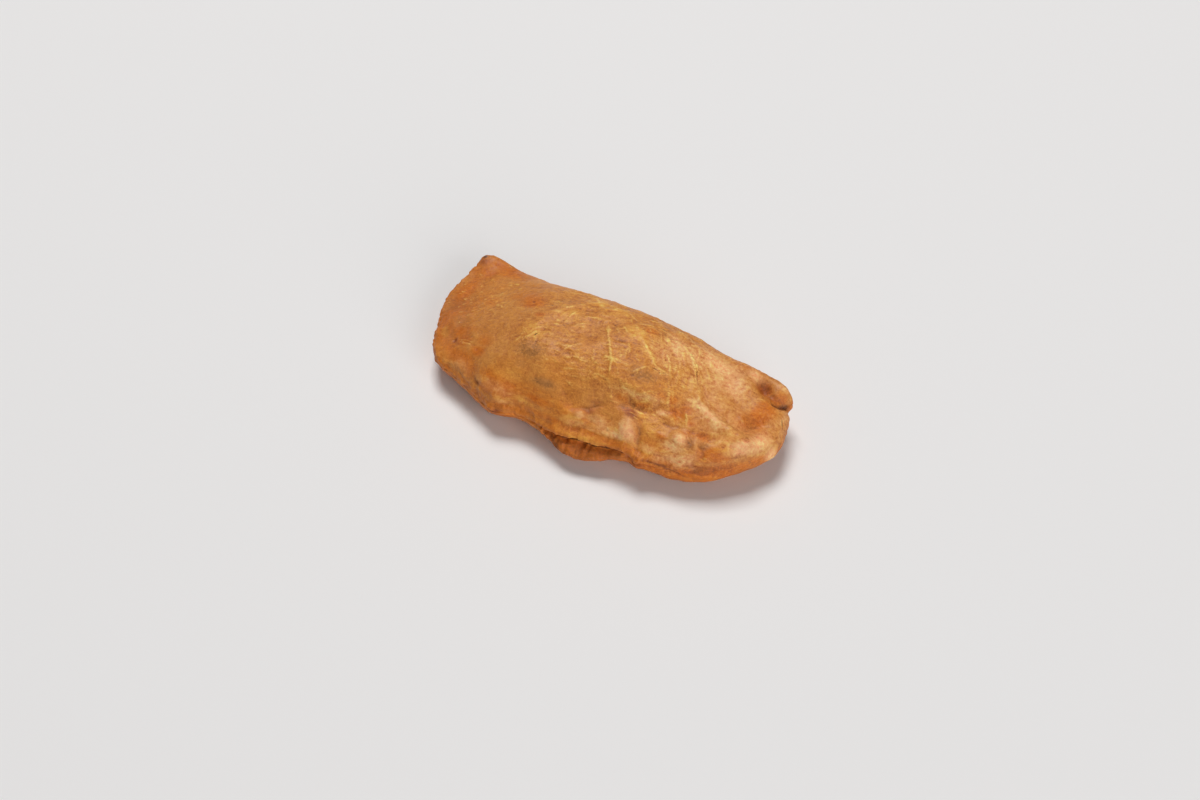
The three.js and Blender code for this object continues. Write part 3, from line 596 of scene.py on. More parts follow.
# Browning, and painted light and shade: some pale ovals are painted highlights on lumps and the front band,
# and some brown ones painted shade in valleys, the dimple and the tuck. Each mask's ovals as amount, place,
# reach along and across, and turn in degrees, if it has one. The places were read off the photograph, and the
# amounts tried out until the render came close to it.
STAINS = {
    "toast": [
        (0.8, -65.6, -12.4, 17, 9, -60), (0.85, -59.7, 23.7, 15, 7), (0.8, -68.6, 7.7, 6, 14),
        (0.9, -47.6, -25.4, 15, 5, -20), (0.6, -41.6, -17.4, 7, 4), (0.9, -28.6, -31.2, 14, 6, -5),
        (0.7, -8, -31, 15, 3, 5), (0.7, -28.4, -1.7, 3, 2), (0.5, -34.6, 2.3, 5, 2.6, 20),
        (0.4, -9, 17.5, 4, 2.6), (0.45, 4, 10, 4, 3), (0.7, 12.5, 11, 4, 3, -20), (0.45, 46, 9.5, 5, 4),
        (0.9, 61.7, 7.5, 3, 6, -20), (0.5, 64.3, 2.7, 3, 3), (0.6, 57, 3, 6, 5, -20),
        (0.7, 44.2, -14.9, 5, 2.6, 20), (0.6, 16.5, -16.1, 5, 3, -15), (0.55, 24.5, -14.6, 5, 1.6),
        (0.5, 29.7, -9.2, 6, 2.6, 15), (0.8, 56, 20.5, 5, 5), (0.6, 48, 24.5, 12, 3.5),
        (1, 51, -23.5, 11, 4, 20), (0.9, 61, -17, 9, 4, 45), (0.7, 68, -6, 8, 4, 60), (0.9, -66, 20, 5, 5),
        (0.9, 36, -10.5, 4.5, 3, 10), (0.8, 61.5, 12, 5, 5), (0.8, 62, 18, 5, 3.4),
        (0.9, 49, -13, 4, 2.6, 20), (0.7, 56, -16, 6, 3, 20), (0.8, 42, -12, 3.4, 2.2),
        (0.8, 39, -8, 3, 2.4), (0.8, 33, -8, 3, 2.2), (0.6, 35, -20, 3, 2), (0.9, 59.9, 8, 4, 6),
        (0.8, 63, 20, 4, 4), (0.8, -56, -14, 8, 6), (0.8, 52, -18, 6, 3, 20), (0.6, -40, 7, 13, 7, -10),
        (0.6, -53, 3, 8, 6), (0.95, -52, -18, 5, 4), (0.9, -43, -22, 5, 3), (0.9, 55, -15.5, 5, 2.6, 20),
        (0.8, 36, -20, 3, 1.8), (1, 58, -18.5, 10, 2.6, 38), (1, 55, -17.5, 8, 2.4, 30),
        (0.8, -35, 4.5, 7, 4), (0.9, -11, -29, 9, 2.4),
    ],
    "gold": [
        (0.7, -63, -15, 4.5, 2.6, -60), (0.45, -64, 22, 7, 3), (0.3, -52, 5, 11, 6, -10),
        (0.35, -36.5, -4.5, 7, 5), (0.8, -26, -9.5, 5, 6, 50), (0.7, -19, 3, 7, 7),
        (0.9, -13, 17, 9, 5, -50), (0.7, -3, 15, 9, 6), (0.9, 9, 7, 7, 4, -35), (0.7, 16, 2.5, 7, 2.5, -30),
        (0.5, 34, 3, 8, 5, -45), (0.5, 41, 20, 7, 4), (0.8, 29.9, -20, 4, 3, -20), (0.5, 38.4, -12.8, 5, 3),
        (0.8, 57.3, -10.5, 8, 5, 40), (0.7, 68, -1, 5, 3, 60), (0.6, -26.6, -27.2, 9, 4.5),
        (1, 9.7, -31.6, 13, 3, 3), (0.6, -8, -29, 8, 3, 5), (0.7, 27, -27, 8, 3), (1, 4, -29, 5, 2.4, 5),
        (0.9, 30, -25, 7, 3, -10), (0.8, 60, -12, 5, 2.4, 40), (0.6, -37, -30, 6, 2.4, -5),
        (0.7, 25, -13.2, 3, 1.4, 5), (1, 20, -26, 5, 3), (1, 26.6, -17.1, 2.4, 1.4, 20),
        (1, 58.3, -12.5, 3, 1.6, 35), (0.9, 71.1, 1.8, 2.4, 2), (0.8, -19, -30, 5, 2.4),
        (0.8, -24, -32.5, 6, 2), (1, 20, -15.2, 3.4, 1.8, -5), (-0.8, 58, -18.5, 10, 2.6, 38),
        (-0.4, -11, -29, 9, 2), (0.95, 20, -26.4, 5.5, 2.2, -8),
    ],
    "pale_and_highlight": [
        (0.7, 47, 13, 14, 9, 20), (0.95, 24, -24.4, 4.6, 2.6, -80), (0.6, 5.7, -26.8, 2.2, 1.8),
        (0.5, 12, -28, 9, 2.4, 3), (0.6, 36.5, -20.5, 3, 2.4), (1, 42.8, -18.9, 3.6, 2.6, 10),
        (0.9, 47, -5.2, 10, 2.6, -10), (0.6, 36.3, -25.4, 3.4, 2), (0.8, 48, -21.8, 4, 2.6, 20),
        (0.6, 68, 13, 2.2, 5), (0.7, 62.8, -7.7, 7, 2.4, 45), (0.4, 54, -13.5, 5, 2, 20),
        (0.4, 62, 23.5, 6, 2, -10), (0.35, -47.6, -9.5, 1.4, 0.6), (0.5, 22, 6, 8, 8, -20),
        (0.6, 30, 13, 9, 6, -10), (0.7, 42, 18, 12, 6, -8), (0.4, 36, 4, 6, 6, -40),
        (0.7, 23, -13.2, 8, 1.6, 8), (0.75, 14, -26, 6, 2.6, -10), (0.7, 20.5, -26.5, 4, 3, -10),
        (0.6, 33, -25, 4, 2.4), (0.8, 41, -21.5, 6, 2.6, -5), (0.7, 49, -3, 5, 2, -10),
        (1, 62.5, -8.5, 6, 2.4, 45), (0.7, 68, 0, 3.4, 5), (0.45, -28, -31.5, 9, 3, -5),
        (0.4, -47, -27, 7, 3, -15), (-0.8, 35, -20, 3, 2), (-0.85, 60, 14, 6, 7), (-0.7, 64, 21, 4, 3),
        (-0.95, 55.4, 20.7, 6, 5), (-0.7, 59.9, 6.3, 4, 4), (0.6, 62.5, 24, 4, 1.8),
        (0.9, 19.5, -25.5, 3.6, 3, -10), (0.75, 44, -23, 4, 2.2, 5), (0.9, 47, -22, 4, 2.4, 10),
        (1, 63, -9.5, 6, 2.2, 45), (-0.3, 23, -13.2, 8, 1.6, 8), (0.7, 31.5, -13, 2.6, 1.6, 20),
        (0.55, 43, 0, 8, 1.8, -42), (0.8, 51, -8, 3.4, 2.2, 10), (1, 66, -3, 7, 4, 60),
        (-0.6, 20.5, -25.5, 4, 3), (-0.5, 11, -27, 4, 2), (0.3, -25, -30.5, 10, 3, -5),
        (0.4, 5, -29, 5, 2.2, 5), (0.9, 38, 17, 12, 5, -8), (0.8, 51, 22, 5, 3, -10),
        (0.9, 48.5, -20.7, 3, 1.8, 10), (0.8, 51, -22, 2, 1.4, 20), (0.4, -24, -33, 5, 1.4),
        (-0.8, 48, -13, 4, 2, 10), (-0.8, 40, -10, 4, 3), (-0.5, 35, -20, 3, 2),
        (-0.8, 55, -15.5, 5, 2.4, 20), (1, 23.8, -25, 4.6, 3.2, -60), (1, 43, -24, 6, 2.4, 5),
        (0.9, 38, -25.5, 4, 2.4), (1, 70.5, 0, 3, 4, 60), (-0.8, 58, -18.5, 10, 2.6, 38),
        (0.6, 17, -26.5, 7, 3), (0.75, 24, 12, 8, 5, -30), (-0.5, 40, -25.5, 7, 2.2),
        (-0.6, 55, -17.5, 8, 2, 30), (0.9, 20.5, -26.6, 4.5, 1.8, -8),
    ],
    "grey": [
        (0.8, -22.1, -17.6, 8, 4.5, 10), (1, -11.6, -24.5, 6, 2.2, 10), (0.15, -35, 10, 9, 6),
        (0.5, 9.8, -25.8, 3, 1.8, 20), (0.72, 20, -7.5, 7, 4, 10), (0.4, 27, -3, 4, 4),
        (0.4, -66.4, -16.4, 7, 2.4, -60), (0.6, -23, -22.5, 3.4, 2.6),
    ],
    "brown_and_shade": [
        (0.6, 5.5, 0.6, 3.4, 1.1, 15), (0.7, -8.9, -6.4, 0.8, 0.7), (0.9, -35.3, 5.8, 0.9, 0.7, -40),
        (0.5, -28.4, -1.7, 1.9, 1.3), (1, -56, -18.2, 1.6, 1.1, 60), (0.5, 46.8, -18.9, 3, 1.8, 30),
        (0.3, 48.6, -13.6, 3, 1.4, 40), (0.85, 55.6, 20.6, 4.6, 3.6), (0.4, 31.4, -26.5, 1.6, 2.4, 20),
        (0.7, 60.5, 19, 4, 2), (0.7, -37.4, -31.3, 2, 1.2), (0.6, -68.1, 20.6, 1, 0.8),
        (0.7, 16.7, -26.4, 0.5, 0.5), (0.65, 52, -24.5, 9, 1.4, 20), (0.55, -66, -2, 7, 9),
        (0.5, -59, -9, 7, 5, -40), (0.35, -66, 22, 4, 3), (0.55, 19, -18.5, 4, 2, -10),
        (0.75, 8, -24, 3.4, 2, 25), (0.25, 36, -11, 3, 2, 10), (1, 22, -18.7, 3.4, 2.2),
        (0.5, 14.5, -18.8, 4, 1.8, -10), (0.45, 9, -21.5, 4, 1.8, 20), (0.5, 3, -27, 3, 1.5),
        (0.45, 48.4, -13, 3, 1.6, 30), (0.45, -60, -15, 7, 5, -50), (0.35, -52, -18, 5, 3, -10),
        (0.8, -71, 23.5, 3, 2.4, 30), (0.45, 35, -11, 3.4, 2, 10), (0.4, 39, -8, 2.6, 2),
        (1, -26.1, -35.5, 3.4, 1.4), (0.6, 48, -13, 2.6, 1.4, 30), (0.3, 56, -18, 7, 2, 25),
        (0.5, -62, -14, 4, 5), (0.55, 46.1, -18.3, 2.2, 1.3, 10), (0.45, 51, -15.5, 4, 2.4, 10),
        (0.8, 40.8, -26.3, 1.6, 1), (0.8, 29.4, -28.6, 1, 1.2), (0.4, 59.8, 4.9, 5, 2.6, 20),
        (0.45, 55, 2.2, 4.5, 1.4, -5), (0.35, 63.5, 8.5, 3, 3), (0.6, 58, -19, 10, 2.2, 38),
        (0.4, 24, -22.3, 2.4, 1.2, -20), (0.3, 27, -8, 3, 2), (0.5, 8, -21, 3.4, 1.6, 15),
        (0.4, 12, -18.4, 3, 1.4, -8), (-0.6, 20.5, -26.6, 4.5, 1.8, -8),
    ],
    "burnt": [
        (0.45, -25.7, -35.8, 2.8, 1.1), (0.7, -71.8, 25.8, 2.2, 0.9, 45),
    ],
}


def chosen(rng, count, where):
    """Random points of the crust, more of them where a mask is high."""
    chance = np.clip(where, 0, None) + LEAST_CHANCE
    return rng.choice(len(where), count, replace=False, p=chance / chance.sum())


def scattered(surface, count, seed, where, reach, lift):
    """Small round bumps or pits at seeded random points: a bell each, of a random reach."""
    rng = np.random.default_rng(seed)
    total = np.zeros(len(surface.points))
    for n in chosen(rng, count, where):
        size = rng.uniform(*reach)
        near = np.linalg.norm(surface.points - surface.points[n], axis=1) < FADED * size
        away = np.linalg.norm(surface.wandering[near] - surface.wandering[n], axis=1)
        total[near] += lift * rng.uniform(0.5, 1) * size * bell(away / size)
    return total


def threads(surface, count, seed, where, half_length, turn, scatter):
    """Short raised threads at seeded random points, each near a heading in the plan.

    Each is a bell across a short line, thinning out to its two ends; where they cross, the higher one shows.
    """
    rng = np.random.default_rng(seed)
    total = np.zeros(len(surface.points))
    for n in chosen(rng, count, where):
        angle = math.radians(turn + scatter * rng.normal())
        reach, half_width, strength = (
            rng.uniform(*span) for span in (half_length, THREAD_HALF_WIDTH, THREAD_STRENGTH)
        )
        heading = np.array([math.cos(angle), math.sin(angle), 0.0])
        heading -= surface.normals[n] * (heading @ surface.normals[n])
        heading /= np.linalg.norm(heading)
        near = np.linalg.norm(surface.points - surface.points[n], axis=1) < reach + THREAD_MARGIN
        offset = surface.wandering[near] - surface.wandering[n]
        along = offset @ heading
        away = np.linalg.norm(offset - np.clip(along, -reach, reach)[:, None] * heading, axis=1)
        thinning = np.clip(1.1 - (along / reach) ** 2, 0, 1)
        total[near] = np.maximum(total[near], strength * thinning * bell(away / half_width))
    return total


def ridged(points, size, seed, stretch=1.0, turn=0.0):
    """Ridges from noise that may be stretched along a direction in the plan: 1 less 3 times its size.

    Taken with a minus sign it gives round lumps with sharp valleys between them.
    """
    c, s = math.cos(math.radians(turn)), math.sin(math.radians(turn))
    rows = np.array([[c, s, 0], [-s, c, 0], [0, 0, 1]])
    return 1 - 3 * np.abs(cloud(points @ rows.T / (stretch, 1, 1), size, seed))


def lay_flakes(s, seen):
    """The dry middle of the crown: a net of fine ridges, and threads that run round and along the fold."""
    dome = ramp(s.x, -42, -24) * ramp(s.x, 42, 28) * ramp(s.y, -24, -12)
    left_flecks = s.oval(-55, 4, 12, 9, -15)
    right = ramp(s.x, 24, 38)
    smooth = s.oval(20, -7.5, 6.5, 4, 10)
    s.masks["flaky"] = np.clip(0.1 + dome + 0.6 * left_flecks + 0.3 * right - smooth, 0, 1) * seen
    uneven = ramp(cloud(s.wandering, 8, 41), -0.4, 0.4)
    net = 0.6 * ridged(s.wandering, 4.4, 51, 2.2, 14) + 0.4 * ridged(s.wandering, 2.3, 52, 2.4, 24)
    s.lift += 0.24 * net * s.masks["flaky"] * uneven
    s.mark("vein", ramp(net, 0.55, 1) * s.masks["flaky"] * uneven, 0.4)
    fold_flank = s.oval(32, 5, 13, 7, -50)
    strands = np.maximum.reduce([
        threads(s, 150, 91, dome * seen * (1 - fold_flank) * (1 - smooth) * (0.2 + uneven), (1.2, 5), 14, 22),
        threads(s, 40, 92, fold_flank * seen, (2, 7), -52, 8),
        threads(s, 80, 93, left_flecks * seen, (0.3, 1.6), 10, 30),
        threads(s, 30, 94, s.oval(8, 2, 12, 12) * seen, (1, 3.5), -55, 20),
        0.7 * threads(s, 36, 95, right * seen, (0.6, 2.0), 0, 60),
    ])
    s.lift += 0.26 * strands
    s.mark("vein", strands, 0.85)


def lay_lumps(s, seen):
    """Low round lumps over the front right and round the right end, with painted light on their tops and
    painted shade between them.
    """
    lumpy = np.clip(s.oval(38, -19, 20, 7, 8) + s.oval(10, -27, 12, 4, 5) + s.oval(60, -6, 12, 7, 50), 0, 1)
    lumpy += 0.35 * ramp(s.x, 34, 50)
    lumps = -0.65 * ridged(s.wandering, 6.5, 53) - 0.35 * ridged(s.wandering, 3.1, 54)
    s.lift += 0.2 * lumps * lumpy * seen
    # Painted light on the lump tops and painted shade in the valleys between them.
    s.mark("pale_and_highlight", ramp(lumps, 0, 0.8) * lumpy * seen, 0.15)
    s.mark("brown_and_shade", ramp(lumps, -0.3, -1) * lumpy * seen, 0.2)


def lay_rough_rim(s, seen):
    """The rough front rim and left edge, and the torn, bumpy flap of the lower layer."""
    rough = np.clip(ramp(s.w, 0, 0.12) * ramp(s.y, 0, -16) + ramp(s.v, -0.86, -1), 0, 1) * seen
    rough = np.maximum(rough, 0.6 * ramp(s.u, -0.9, -1))
    s.lift += rough * (0.3 * cloud(s.points, 3.2, 55) - 0.16 * ridged(s.points, 1.9, 56))
    flap = s.oval(6, -34, 12, 5) * ramp(s.w, 0.3, 0.45) * seen
    s.lift += flap * (0.5 * cloud(s.points, 2.6, 57) - 0.25 * ridged(s.points, 1.5, 58))
    s.lift += scattered(s, 60, 73, flap, (0.4, 1.0), 0.4)


def lay_lines(s):
    """The wrinkles, furrows and cracks that have a place of their own."""
    broken = 0.85 + 0.5 * cloud(s.points, 1.8, 61)
    for places, half_width, lift, yellow in WRINKLES:
        line, _ = s.strand(places, half_width)
        s.lift += lift * line * broken
        s.mark("vein", line * broken, yellow)
    # Furrows: a dent, darkened partly as browning and partly as painted shade in it.
    for places, half_width, depth, brown_and_shade in FURROWS:
        line, _ = s.strand(places, half_width)
        s.lift -= depth * line
        s.mark("brown_and_shade", line, brown_and_shade)
    # Cracks: a groove with raised yellow lips, darkened with painted shade.
    for places, half_width, depth, dark in CRACKS:
        line, lips = s.strand(places, half_width)
        s.lift += 0.5 * depth * lips - depth * line
        s.mark("crack_shade", line, dark)
        s.mark("vein", lips, 0.7)


def lay_relief(s):
    """All that is finer than the solid. The painted light and shade that follow the relief take the small
    relief alone, so dents come after them.
    """
    seen = s.w < HIDDEN_SHARE
    s.lift += 0.26 * cloud(s.points, 5.5, 32) + 0.1 * cloud(s.points, 2.4, 33)
    lay_flakes(s, seen)
    lay_lumps(s, seen)
    lay_rough_rim(s, seen)
    lay_lines(s)
    blistered = 0.3 + ramp(s.x, 20, 50) + ramp(s.y, -20, -30) + ramp(s.w, 0, 0.3)
    s.lift += scattered(s, 320, 71, blistered, (0.5, 1.3), 0.2)
    s.lift -= scattered(s, 160, 72, 0.5 + s.masks["flaky"], (0.35, 0.6), 0.4)
    # The height of the small relief, which the material turns into painted light on high points and painted
    # shade in low ones.
    s.masks["rise"] = np.clip(0.5 + s.lift / RISE_SPAN, 0, 1)
    for lift, *oval in DENTS:
        s.lift += lift * s.oval(*oval)
    s.lift += 0.28 * cloud(s.points, 13, 31)
    s.lift -= 0.4 * ramp(cloud(s.points, 2.6, 34), 0.1, 0.45) * ramp(s.u, -0.985, -1)


def lay_browning(s):
    """Where the crust has browned, with painted light and shade among it: by place on the form, then the
    stains, then the seam's layers, and painted shade in their gap.
    """
    along = s.x / HALF_LENGTH
    edge = ramp(s.w + 0.12 * cloud(s.points, 5, 82), 0, 0.4) * (s.w > 0)
    s.mark("toast", ramp(s.x, -36, -62), 0.5)
    s.mark("toast", edge, 0.65)
    s.mark("toast", ramp(s.v, 0.86, 1), 0.4)
    # The right part paler: partly its own frying, partly painted light on the side that faces the light.
    s.mark("pale_and_highlight", ramp(s.x, 26, 46) * (1 - edge), 0.36)
    s.mark("toast", ramp(s.v, -0.8, -1) * ramp(s.x, 0, -20), 0.4)
    s.mark("toast", ramp(s.v, -0.94, -1), 0.6)
    s.mark("brown_and_shade", ramp(s.w, 0.55, 0.95), 0.35)
    front_band = ramp(s.v, -0.68, -0.84) * ramp(s.v, -1, -0.9) * ramp(s.x, -45, -20)
    s.mark("gold", front_band, 0.42)
    s.mark("toast", front_band, 0.5)
    for name, ovals in STAINS.items():
        for amount, *oval in ovals:
            s.mark(name, s.oval(*oval), amount)
    rim = ramp(s.v, -0.955, -1) * ramp(s.x, -30, -10) * ramp(s.x, 40, 28)
    s.mark("pale_and_highlight", rim, -0.9)
    s.mark("gold", rim, -0.3)
    s.mark("toast", rim, 0.6)
    front = (s.w > 0) & (s.w < 1) & (s.v < -0.999)
    # Painted shade in the gap between the seam's two layers.
    gap = bell((s.w - gap_place(along) - 0.02) / 0.045) * front * ramp(seam_gap(along), 0.6, 1.4)
    s.mark("crack_shade", gap, 1.0)
    lip = ramp(s.w - gap_place(along), 0, 0.1) * front * ramp(lower_lip(along), 0, 1.5)
    s.mark("brown_and_shade", lip, 0.55)
    thin_edge = bell((s.w - 0.4) / 0.2) * ((s.u < -0.99) | (s.v > 0.99)) * ramp(s.x, -56, -68)
    s.mark("brown_and_shade", thin_edge * ramp(s.y, 0, 14) * (0.8 + 0.6 * cloud(s.points, 3, 83)), 1.0)
    s.masks["gloss"] = np.clip(0.5 + 0.7 * cloud(s.points, 9, 81) + 0.3 * s.masks["pale_and_highlight"], 0, 1)


def drawn_in(points):
    """The points in the CAD solid's frame, drawn in by up to a hundredth where they stand past its box."""
    low, high = points.min(axis=0), points.max(axis=0)
    share = np.minimum(1, np.subtract(cad_high, cad_low) / MM / (high - low))
    middle = (low + high) / 2 * (1, 1, 0)
    return cad_middle * (1, 1, 0) + (points - middle) * share


def build_crust():
    """The crust's mesh: the plain surface moved along its normals by the relief, in the solid's place."""
    item = add_mesh("fried_crust", crust.points, crust.corners, crust.sizes)
    surface = Surface(crust, vertex_normals(item.data))
    lay_relief(surface)
    lay_browning(surface)
    points = surface.points + surface.normals * surface.lift[:, None]
    points[:, 2] = np.maximum(points[:, 2], 0)
    points = drawn_in(points + to_part) * MM
    item.data.vertices.foreach_set("co", points.astype(np.float32).ravel())
    item.data.update()
    for name, mask in surface.masks.items():
        attribute = item.data.attributes.new(name, "FLOAT", "POINT")
        attribute.data.foreach_set("value", np.clip(mask, 0, 1).astype(np.float32))
    return item


# The CAD solid has its origin under its middle, and the drawing has its own: the way from one to the other.
cad_middle = (np.array(cad_low) + np.array(cad_high)) / 2 / MM
drawn_middle = (crust.points.min(axis=0) + crust.points.max(axis=0)) / 2
to_part = np.array([cad_middle[0] - drawn_middle[0], cad_middle[1] - drawn_middle[1], 0])


def srgb(red, green, blue):
    """A colour given as 0 to 255 on screen, as the linear values that a shader takes."""
    share = np.array([red, green, blue]) / 255
    linear = np.where(share > 0.04045, ((share + 0.055) / 1.055) ** 2.4, share / 12.92)
    return (*linear.tolist(), 1.0)


class Link:
    """An output of one of a material's nodes. Arithmetic on it adds Math nodes."""

    def __init__(self, nodes, socket):
        self.nodes = nodes
        self.socket = socket

    def maths(self, operation, other):
        return self.nodes.add("ShaderNodeMath", {"operation": operation}, {0: self, 1: other})

    def __add__(self, other):
        return self.maths("ADD", other)

    def __sub__(self, other):
        return self.maths("SUBTRACT", other)

    def __mul__(self, other):
        return self.maths("MULTIPLY", other)

    __radd__ = __add__
    __rmul__ = __mul__

    def ramp(self, start, end):
        """0 at start and 1 at end, smooth between them; end may be the lower one."""
        ends = {"From Min": min(start, end), "From Max": max(start, end)}
        ends.update({"To Min": float(start > end), "To Max": float(start < end)})
        settings = {"interpolation_type": "SMOOTHSTEP"}
        return self.nodes.add("ShaderNodeMapRange", settings, {"Value": self, **ends})


class Material:
    """A material's nodes."""

    def __init__(self, name):
        self.material = bpy.data.materials.new(name)
        self.material.use_nodes = True
        self.tree = self.material.node_tree
        self.tree.nodes.clear()

    def add(self, kind, settings=None, inputs=None, output=0):
        """Adds a node: its settings, then the value or link of each socket. Gives one of its outputs."""
        node = self.tree.nodes.new(kind)
        for name, value in (settings or {}).items():
            setattr(node, name, value)
        for name, value in (inputs or {}).items():
            if isinstance(value, Link):
                self.tree.links.new(value.socket, node.inputs[name])
            else:
                node.inputs[name].default_value = value
        return Link(self, node.outputs[output])

    def mask(self, name):
        return self.add("ShaderNodeAttribute", {"attribute_name": name}, output="Fac")

    def noise(self, place, size, detail=2.0, roughness=0.5, distortion=0.0):
        """Soft noise of about 0 to 1, its largest features size millimetres across."""
        inputs = {"Vector": place, "Scale": 1 / size, "Detail": detail, "Roughness": roughness}
        return self.add("ShaderNodeTexNoise", {}, {**inputs, "Distortion": distortion})

    def mix(self, share, first, second, blend="MIX"):
        """Colours or vectors mixed by a share, from the first at 0 to the second at 1."""
        settings = {"data_type": "RGBA", "blend_type": blend}
        return self.add("ShaderNodeMix", settings, {0: share, 6: first, 7: second}, output=2)

    def finish(self, shader):
        output = self.tree.nodes.new("ShaderNodeOutputMaterial")
        self.tree.links.new(shader.socket, output.inputs["Surface"])
        return self.material


TAN = srgb(209, 136, 62)
TAN_DEEP = srgb(204, 127, 50)
TOAST = srgb(206, 112, 28)
GOLD = srgb(236, 166, 72)
# Paler frying, also used for painted highlights.
PALE_AND_HIGHLIGHT = srgb(250, 188, 126)
# The crust's grey patches, also used for painted shade in the hollows of the fine relief.
GREY_AND_SHADE = srgb(156, 104, 56)
# Browning, also used for painted shade in furrows, valleys, the dimple and the tuck.
BROWN_AND_SHADE = srgb(154, 80, 32)
VEIN = srgb(248, 194, 104)
# The cream of painted glints.
PAINTED_GLINT = srgb(250, 214, 142)
BURNT = srgb(64, 36, 26)
# The dark of the painted shade in cracks and in the seam's gap.
CRACK_SHADE = srgb(60, 28, 14)


def fried_crust():
    """Fried dough: tan, browned to orange and brown by its masks, veined with yellow, and slightly oily, with
    painted shade in hollows, cracks and furrows, and painted light and glints on raised relief.
    """
    m = Material("fried_crust")
    metres = m.add("ShaderNodeTexCoord", output="Object")
    place = m.add("ShaderNodeVectorMath", {"operation": "SCALE"}, {0: metres, "Scale": 1 / MM})
    broad = m.noise(place, 14, 3, 0.55)
    mottle = m.noise(place, 5, 4, 0.6, 0.4)
    speck = m.noise(place, 1.4, 3, 0.6)
    grain = m.noise(place, 0.55, 2, 0.6)
    stretch = {"Vector": place, "Rotation": (0, 0, math.radians(16)), "Scale": (3.4, 1.0, 1.0)}
    drawn = m.add("ShaderNodeMapping", {"vector_type": "TEXTURE"}, stretch)
    streak = m.noise(drawn, 1.1, 3, 0.6, 0.6)
    broadly, mottled, specked, grained, streaked = (n - 0.5 for n in (broad, mottle, speck, grain, streak))
    flaky = m.mask("flaky")
    rise = m.mask("rise")
    flecks = streak.ramp(0.56, 0.7) * flaky * mottle.ramp(0.36, 0.6)

    colour = m.mix(broad.ramp(0.3, 0.7), TAN, TAN_DEEP)
    toast = (m.mask("toast") + mottled * 0.5 + broadly * 0.6).ramp(0.2, 0.85)
    colour = m.mix(toast, colour, TOAST)
    gold = (m.mask("gold") + mottled * 0.3 + streaked * 0.4).ramp(0.2, 1.0)
    colour = m.mix(gold * 0.8, colour, GOLD)
    # The pale mask: partly the crust's paler frying, partly painted highlight on lump tops, ridges and the
    # front band.
    pale_and_highlight = (m.mask("pale_and_highlight") + mottled * 0.25 + specked * 0.5).ramp(0.05, 1.1)
    colour = m.mix(pale_and_highlight, colour, PALE_AND_HIGHLIGHT)
    grey = (m.mask("grey") + mottled * 0.3).ramp(0.15, 0.95)
    colour = m.mix(grey * 0.7, colour, GREY_AND_SHADE)
    # Painted shade: the low places of the fine relief are greyed, standing in for the shade that falls in
    # them.
    hollow_shade = (rise + specked * 0.5 + mottled * 0.5).ramp(0.48, 0.2)
    colour = m.mix(hollow_shade * (flaky * 0.25 + 0.12), colour, GREY_AND_SHADE)
    # The brown mask: partly browning, partly painted shade in furrows, between lumps, in the dimple and the
    # tuck.
    brown_and_shade = (m.mask("brown_and_shade") + specked * 0.6).ramp(0.12, 0.95)
    colour = m.mix(brown_and_shade, colour, BROWN_AND_SHADE)
    vein = (m.mask("vein") + specked * 0.6 + grained * 0.3).ramp(0.15, 0.85)
    colour = m.mix(vein * 0.6, colour, VEIN)
    colour = m.mix(flecks * 0.35, colour, VEIN)
    # Painted glints: cream flecks on raised specks, most over pale parts, standing in for small highlights.
    painted_glints = (speck + (rise - 0.5) * 0.4).ramp(0.6, 0.76)
    painted_glints = painted_glints * (mottle + m.mask("pale_and_highlight") * 0.25).ramp(0.5, 0.75)
    colour = m.mix(painted_glints * (flaky * 0.25 + 0.04), colour, PAINTED_GLINT)
    grit = specked * 0.6 + streaked * 0.5 + grained * 0.6
    # The overlay: the crust's own random grit and mottle, plus painted light on the raised fine relief and
    # painted shade in its low places.
    tone_with_relief_light_and_shade = 0.5 + (rise - 0.5) * 0.5 + grit * (0.6 + flaky * 0.5) + mottled * 0.25
    colour = m.mix(1.0, colour, tone_with_relief_light_and_shade, "OVERLAY")
    # Painted shade in the cracks and in the gap of the seam.
    crack_shade = (m.mask("crack_shade") + specked * 0.4).ramp(0.25, 0.8)
    colour = m.mix(crack_shade, colour, CRACK_SHADE)
    burnt = (m.mask("burnt") + specked * 0.7).ramp(0.3, 0.8)
    colour = m.mix(burnt, colour, BURNT)

    height = grain * 0.12 + speck * 0.3 + streak * 0.14 + mottle * 0.2 + flecks * 0.06
    finish = {
        "Base Color": colour,
        "Roughness": 0.5 + grained * 0.3 + mottled * 0.3,
        "Coat Weight": m.mask("gloss") * 0.07,
        "Coat Roughness": 0.25,
        "IOR": 1.45,
        "Specular IOR Level": 0.4,
        "Normal": m.add("ShaderNodeBump", {}, {"Height": height, "Distance": MM, "Strength": 1.0}),
    }
    return m.finish(m.add("ShaderNodeBsdfPrincipled", {}, finish))


def pale_floor():
    m = Material("pale_floor")
    return m.finish(m.add("ShaderNodeBsdfPrincipled", {}, {"Base Color": FLOOR_COLOUR, "Roughness": 0.8}))


def build_floor():
    """A wide flat square at the height of the turnover's flat spot."""
    half = FLOOR_SIZE / 2
    corners = np.array([(-half, -half, 0), (half, -half, 0), (half, half, 0), (-half, half, 0)])
    floor = add_mesh("floor", corners, np.arange(4), np.array([4]))
    floor.data.materials.append(pale_floor())


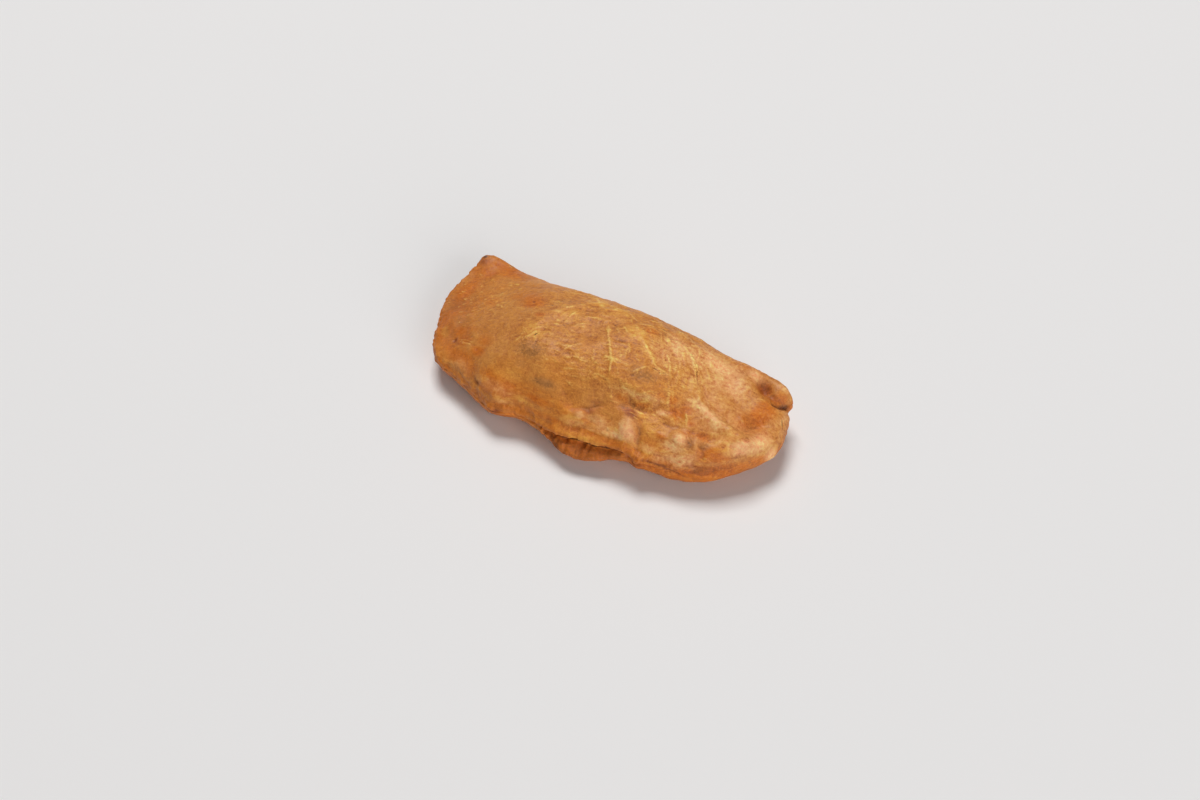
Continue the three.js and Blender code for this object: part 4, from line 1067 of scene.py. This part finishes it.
def add_light(name, place, size, power, colour):
    """A square soft light that faces the turnover."""
    light = bpy.data.lights.new(name, "AREA")
    light.shape = "SQUARE"
    light.size = size
    light.energy = power
    light.color = colour
    item = bpy.data.objects.new(name, light)
    back = Matrix.Translation(place)
    direction = np.subtract(LIGHT_AIM, place)
    turn = math.atan2(direction[0], -direction[1])
    tilt = math.atan2(math.hypot(direction[0], direction[1]), -direction[2])
    item.matrix_world = back @ Matrix.Rotation(turn, 4, "Z") @ Matrix.Rotation(-tilt, 4, "X")
    bpy.context.scene.collection.objects.link(item)


FLOOR_SIZE = 6.0
FLOOR_COLOUR = srgb(241, 240, 240)
SKY = srgb(246, 248, 252)
SKY_STRENGTH = 0.12
# Name, place and size in metres, power and colour.
LIGHTS = [
    ("window", (-0.92, 1.05, 3.1), 1.4, 80, (1.0, 0.99, 0.975)),
    ("room", (2.35, -1.3, 0.95), 2.2, 46, (1.0, 0.99, 0.98)),
]
LIGHT_AIM = (0, 0, 0.02)
# The camera looks at the turnover from the front right, at the photograph's angle.
CAMERA_PLACE = (222.7, -365.7, 467.8)
CAMERA_TURN = 31.585
CAMERA_ABOVE = 47.58
CAMERA_ROLL = 0.7
CAMERA_LENS = 50.01
CAMERA_SENSOR = 36


def light_scene():
    world = bpy.data.worlds.new("daylight")
    world.use_nodes = True
    background = world.node_tree.nodes["Background"]
    background.inputs["Color"].default_value = SKY
    background.inputs["Strength"].default_value = SKY_STRENGTH
    bpy.context.scene.world = world
    for name, place, size, power, colour in LIGHTS:
        add_light(name, place, size, power, colour)
    bpy.context.scene.view_settings.view_transform = "Standard"


def add_camera():
    data = bpy.data.cameras.new("camera")
    data.lens = CAMERA_LENS
    data.sensor_width = CAMERA_SENSOR
    item = bpy.data.objects.new("camera", data)
    item.matrix_world = (
        Matrix.Translation((np.array(CAMERA_PLACE) + to_part) * MM)
        @ Matrix.Rotation(math.radians(CAMERA_TURN), 4, "Z")
        @ Matrix.Rotation(math.radians(90 - CAMERA_ABOVE), 4, "X")
        @ Matrix.Rotation(math.radians(CAMERA_ROLL), 4, "Z")
    )
    bpy.context.scene.collection.objects.link(item)
    bpy.context.scene.camera = item


piece = build_crust()
piece.data.materials.append(fried_crust())
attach(piece, "root")
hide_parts("turnover")
build_floor()
light_scene()
add_camera()
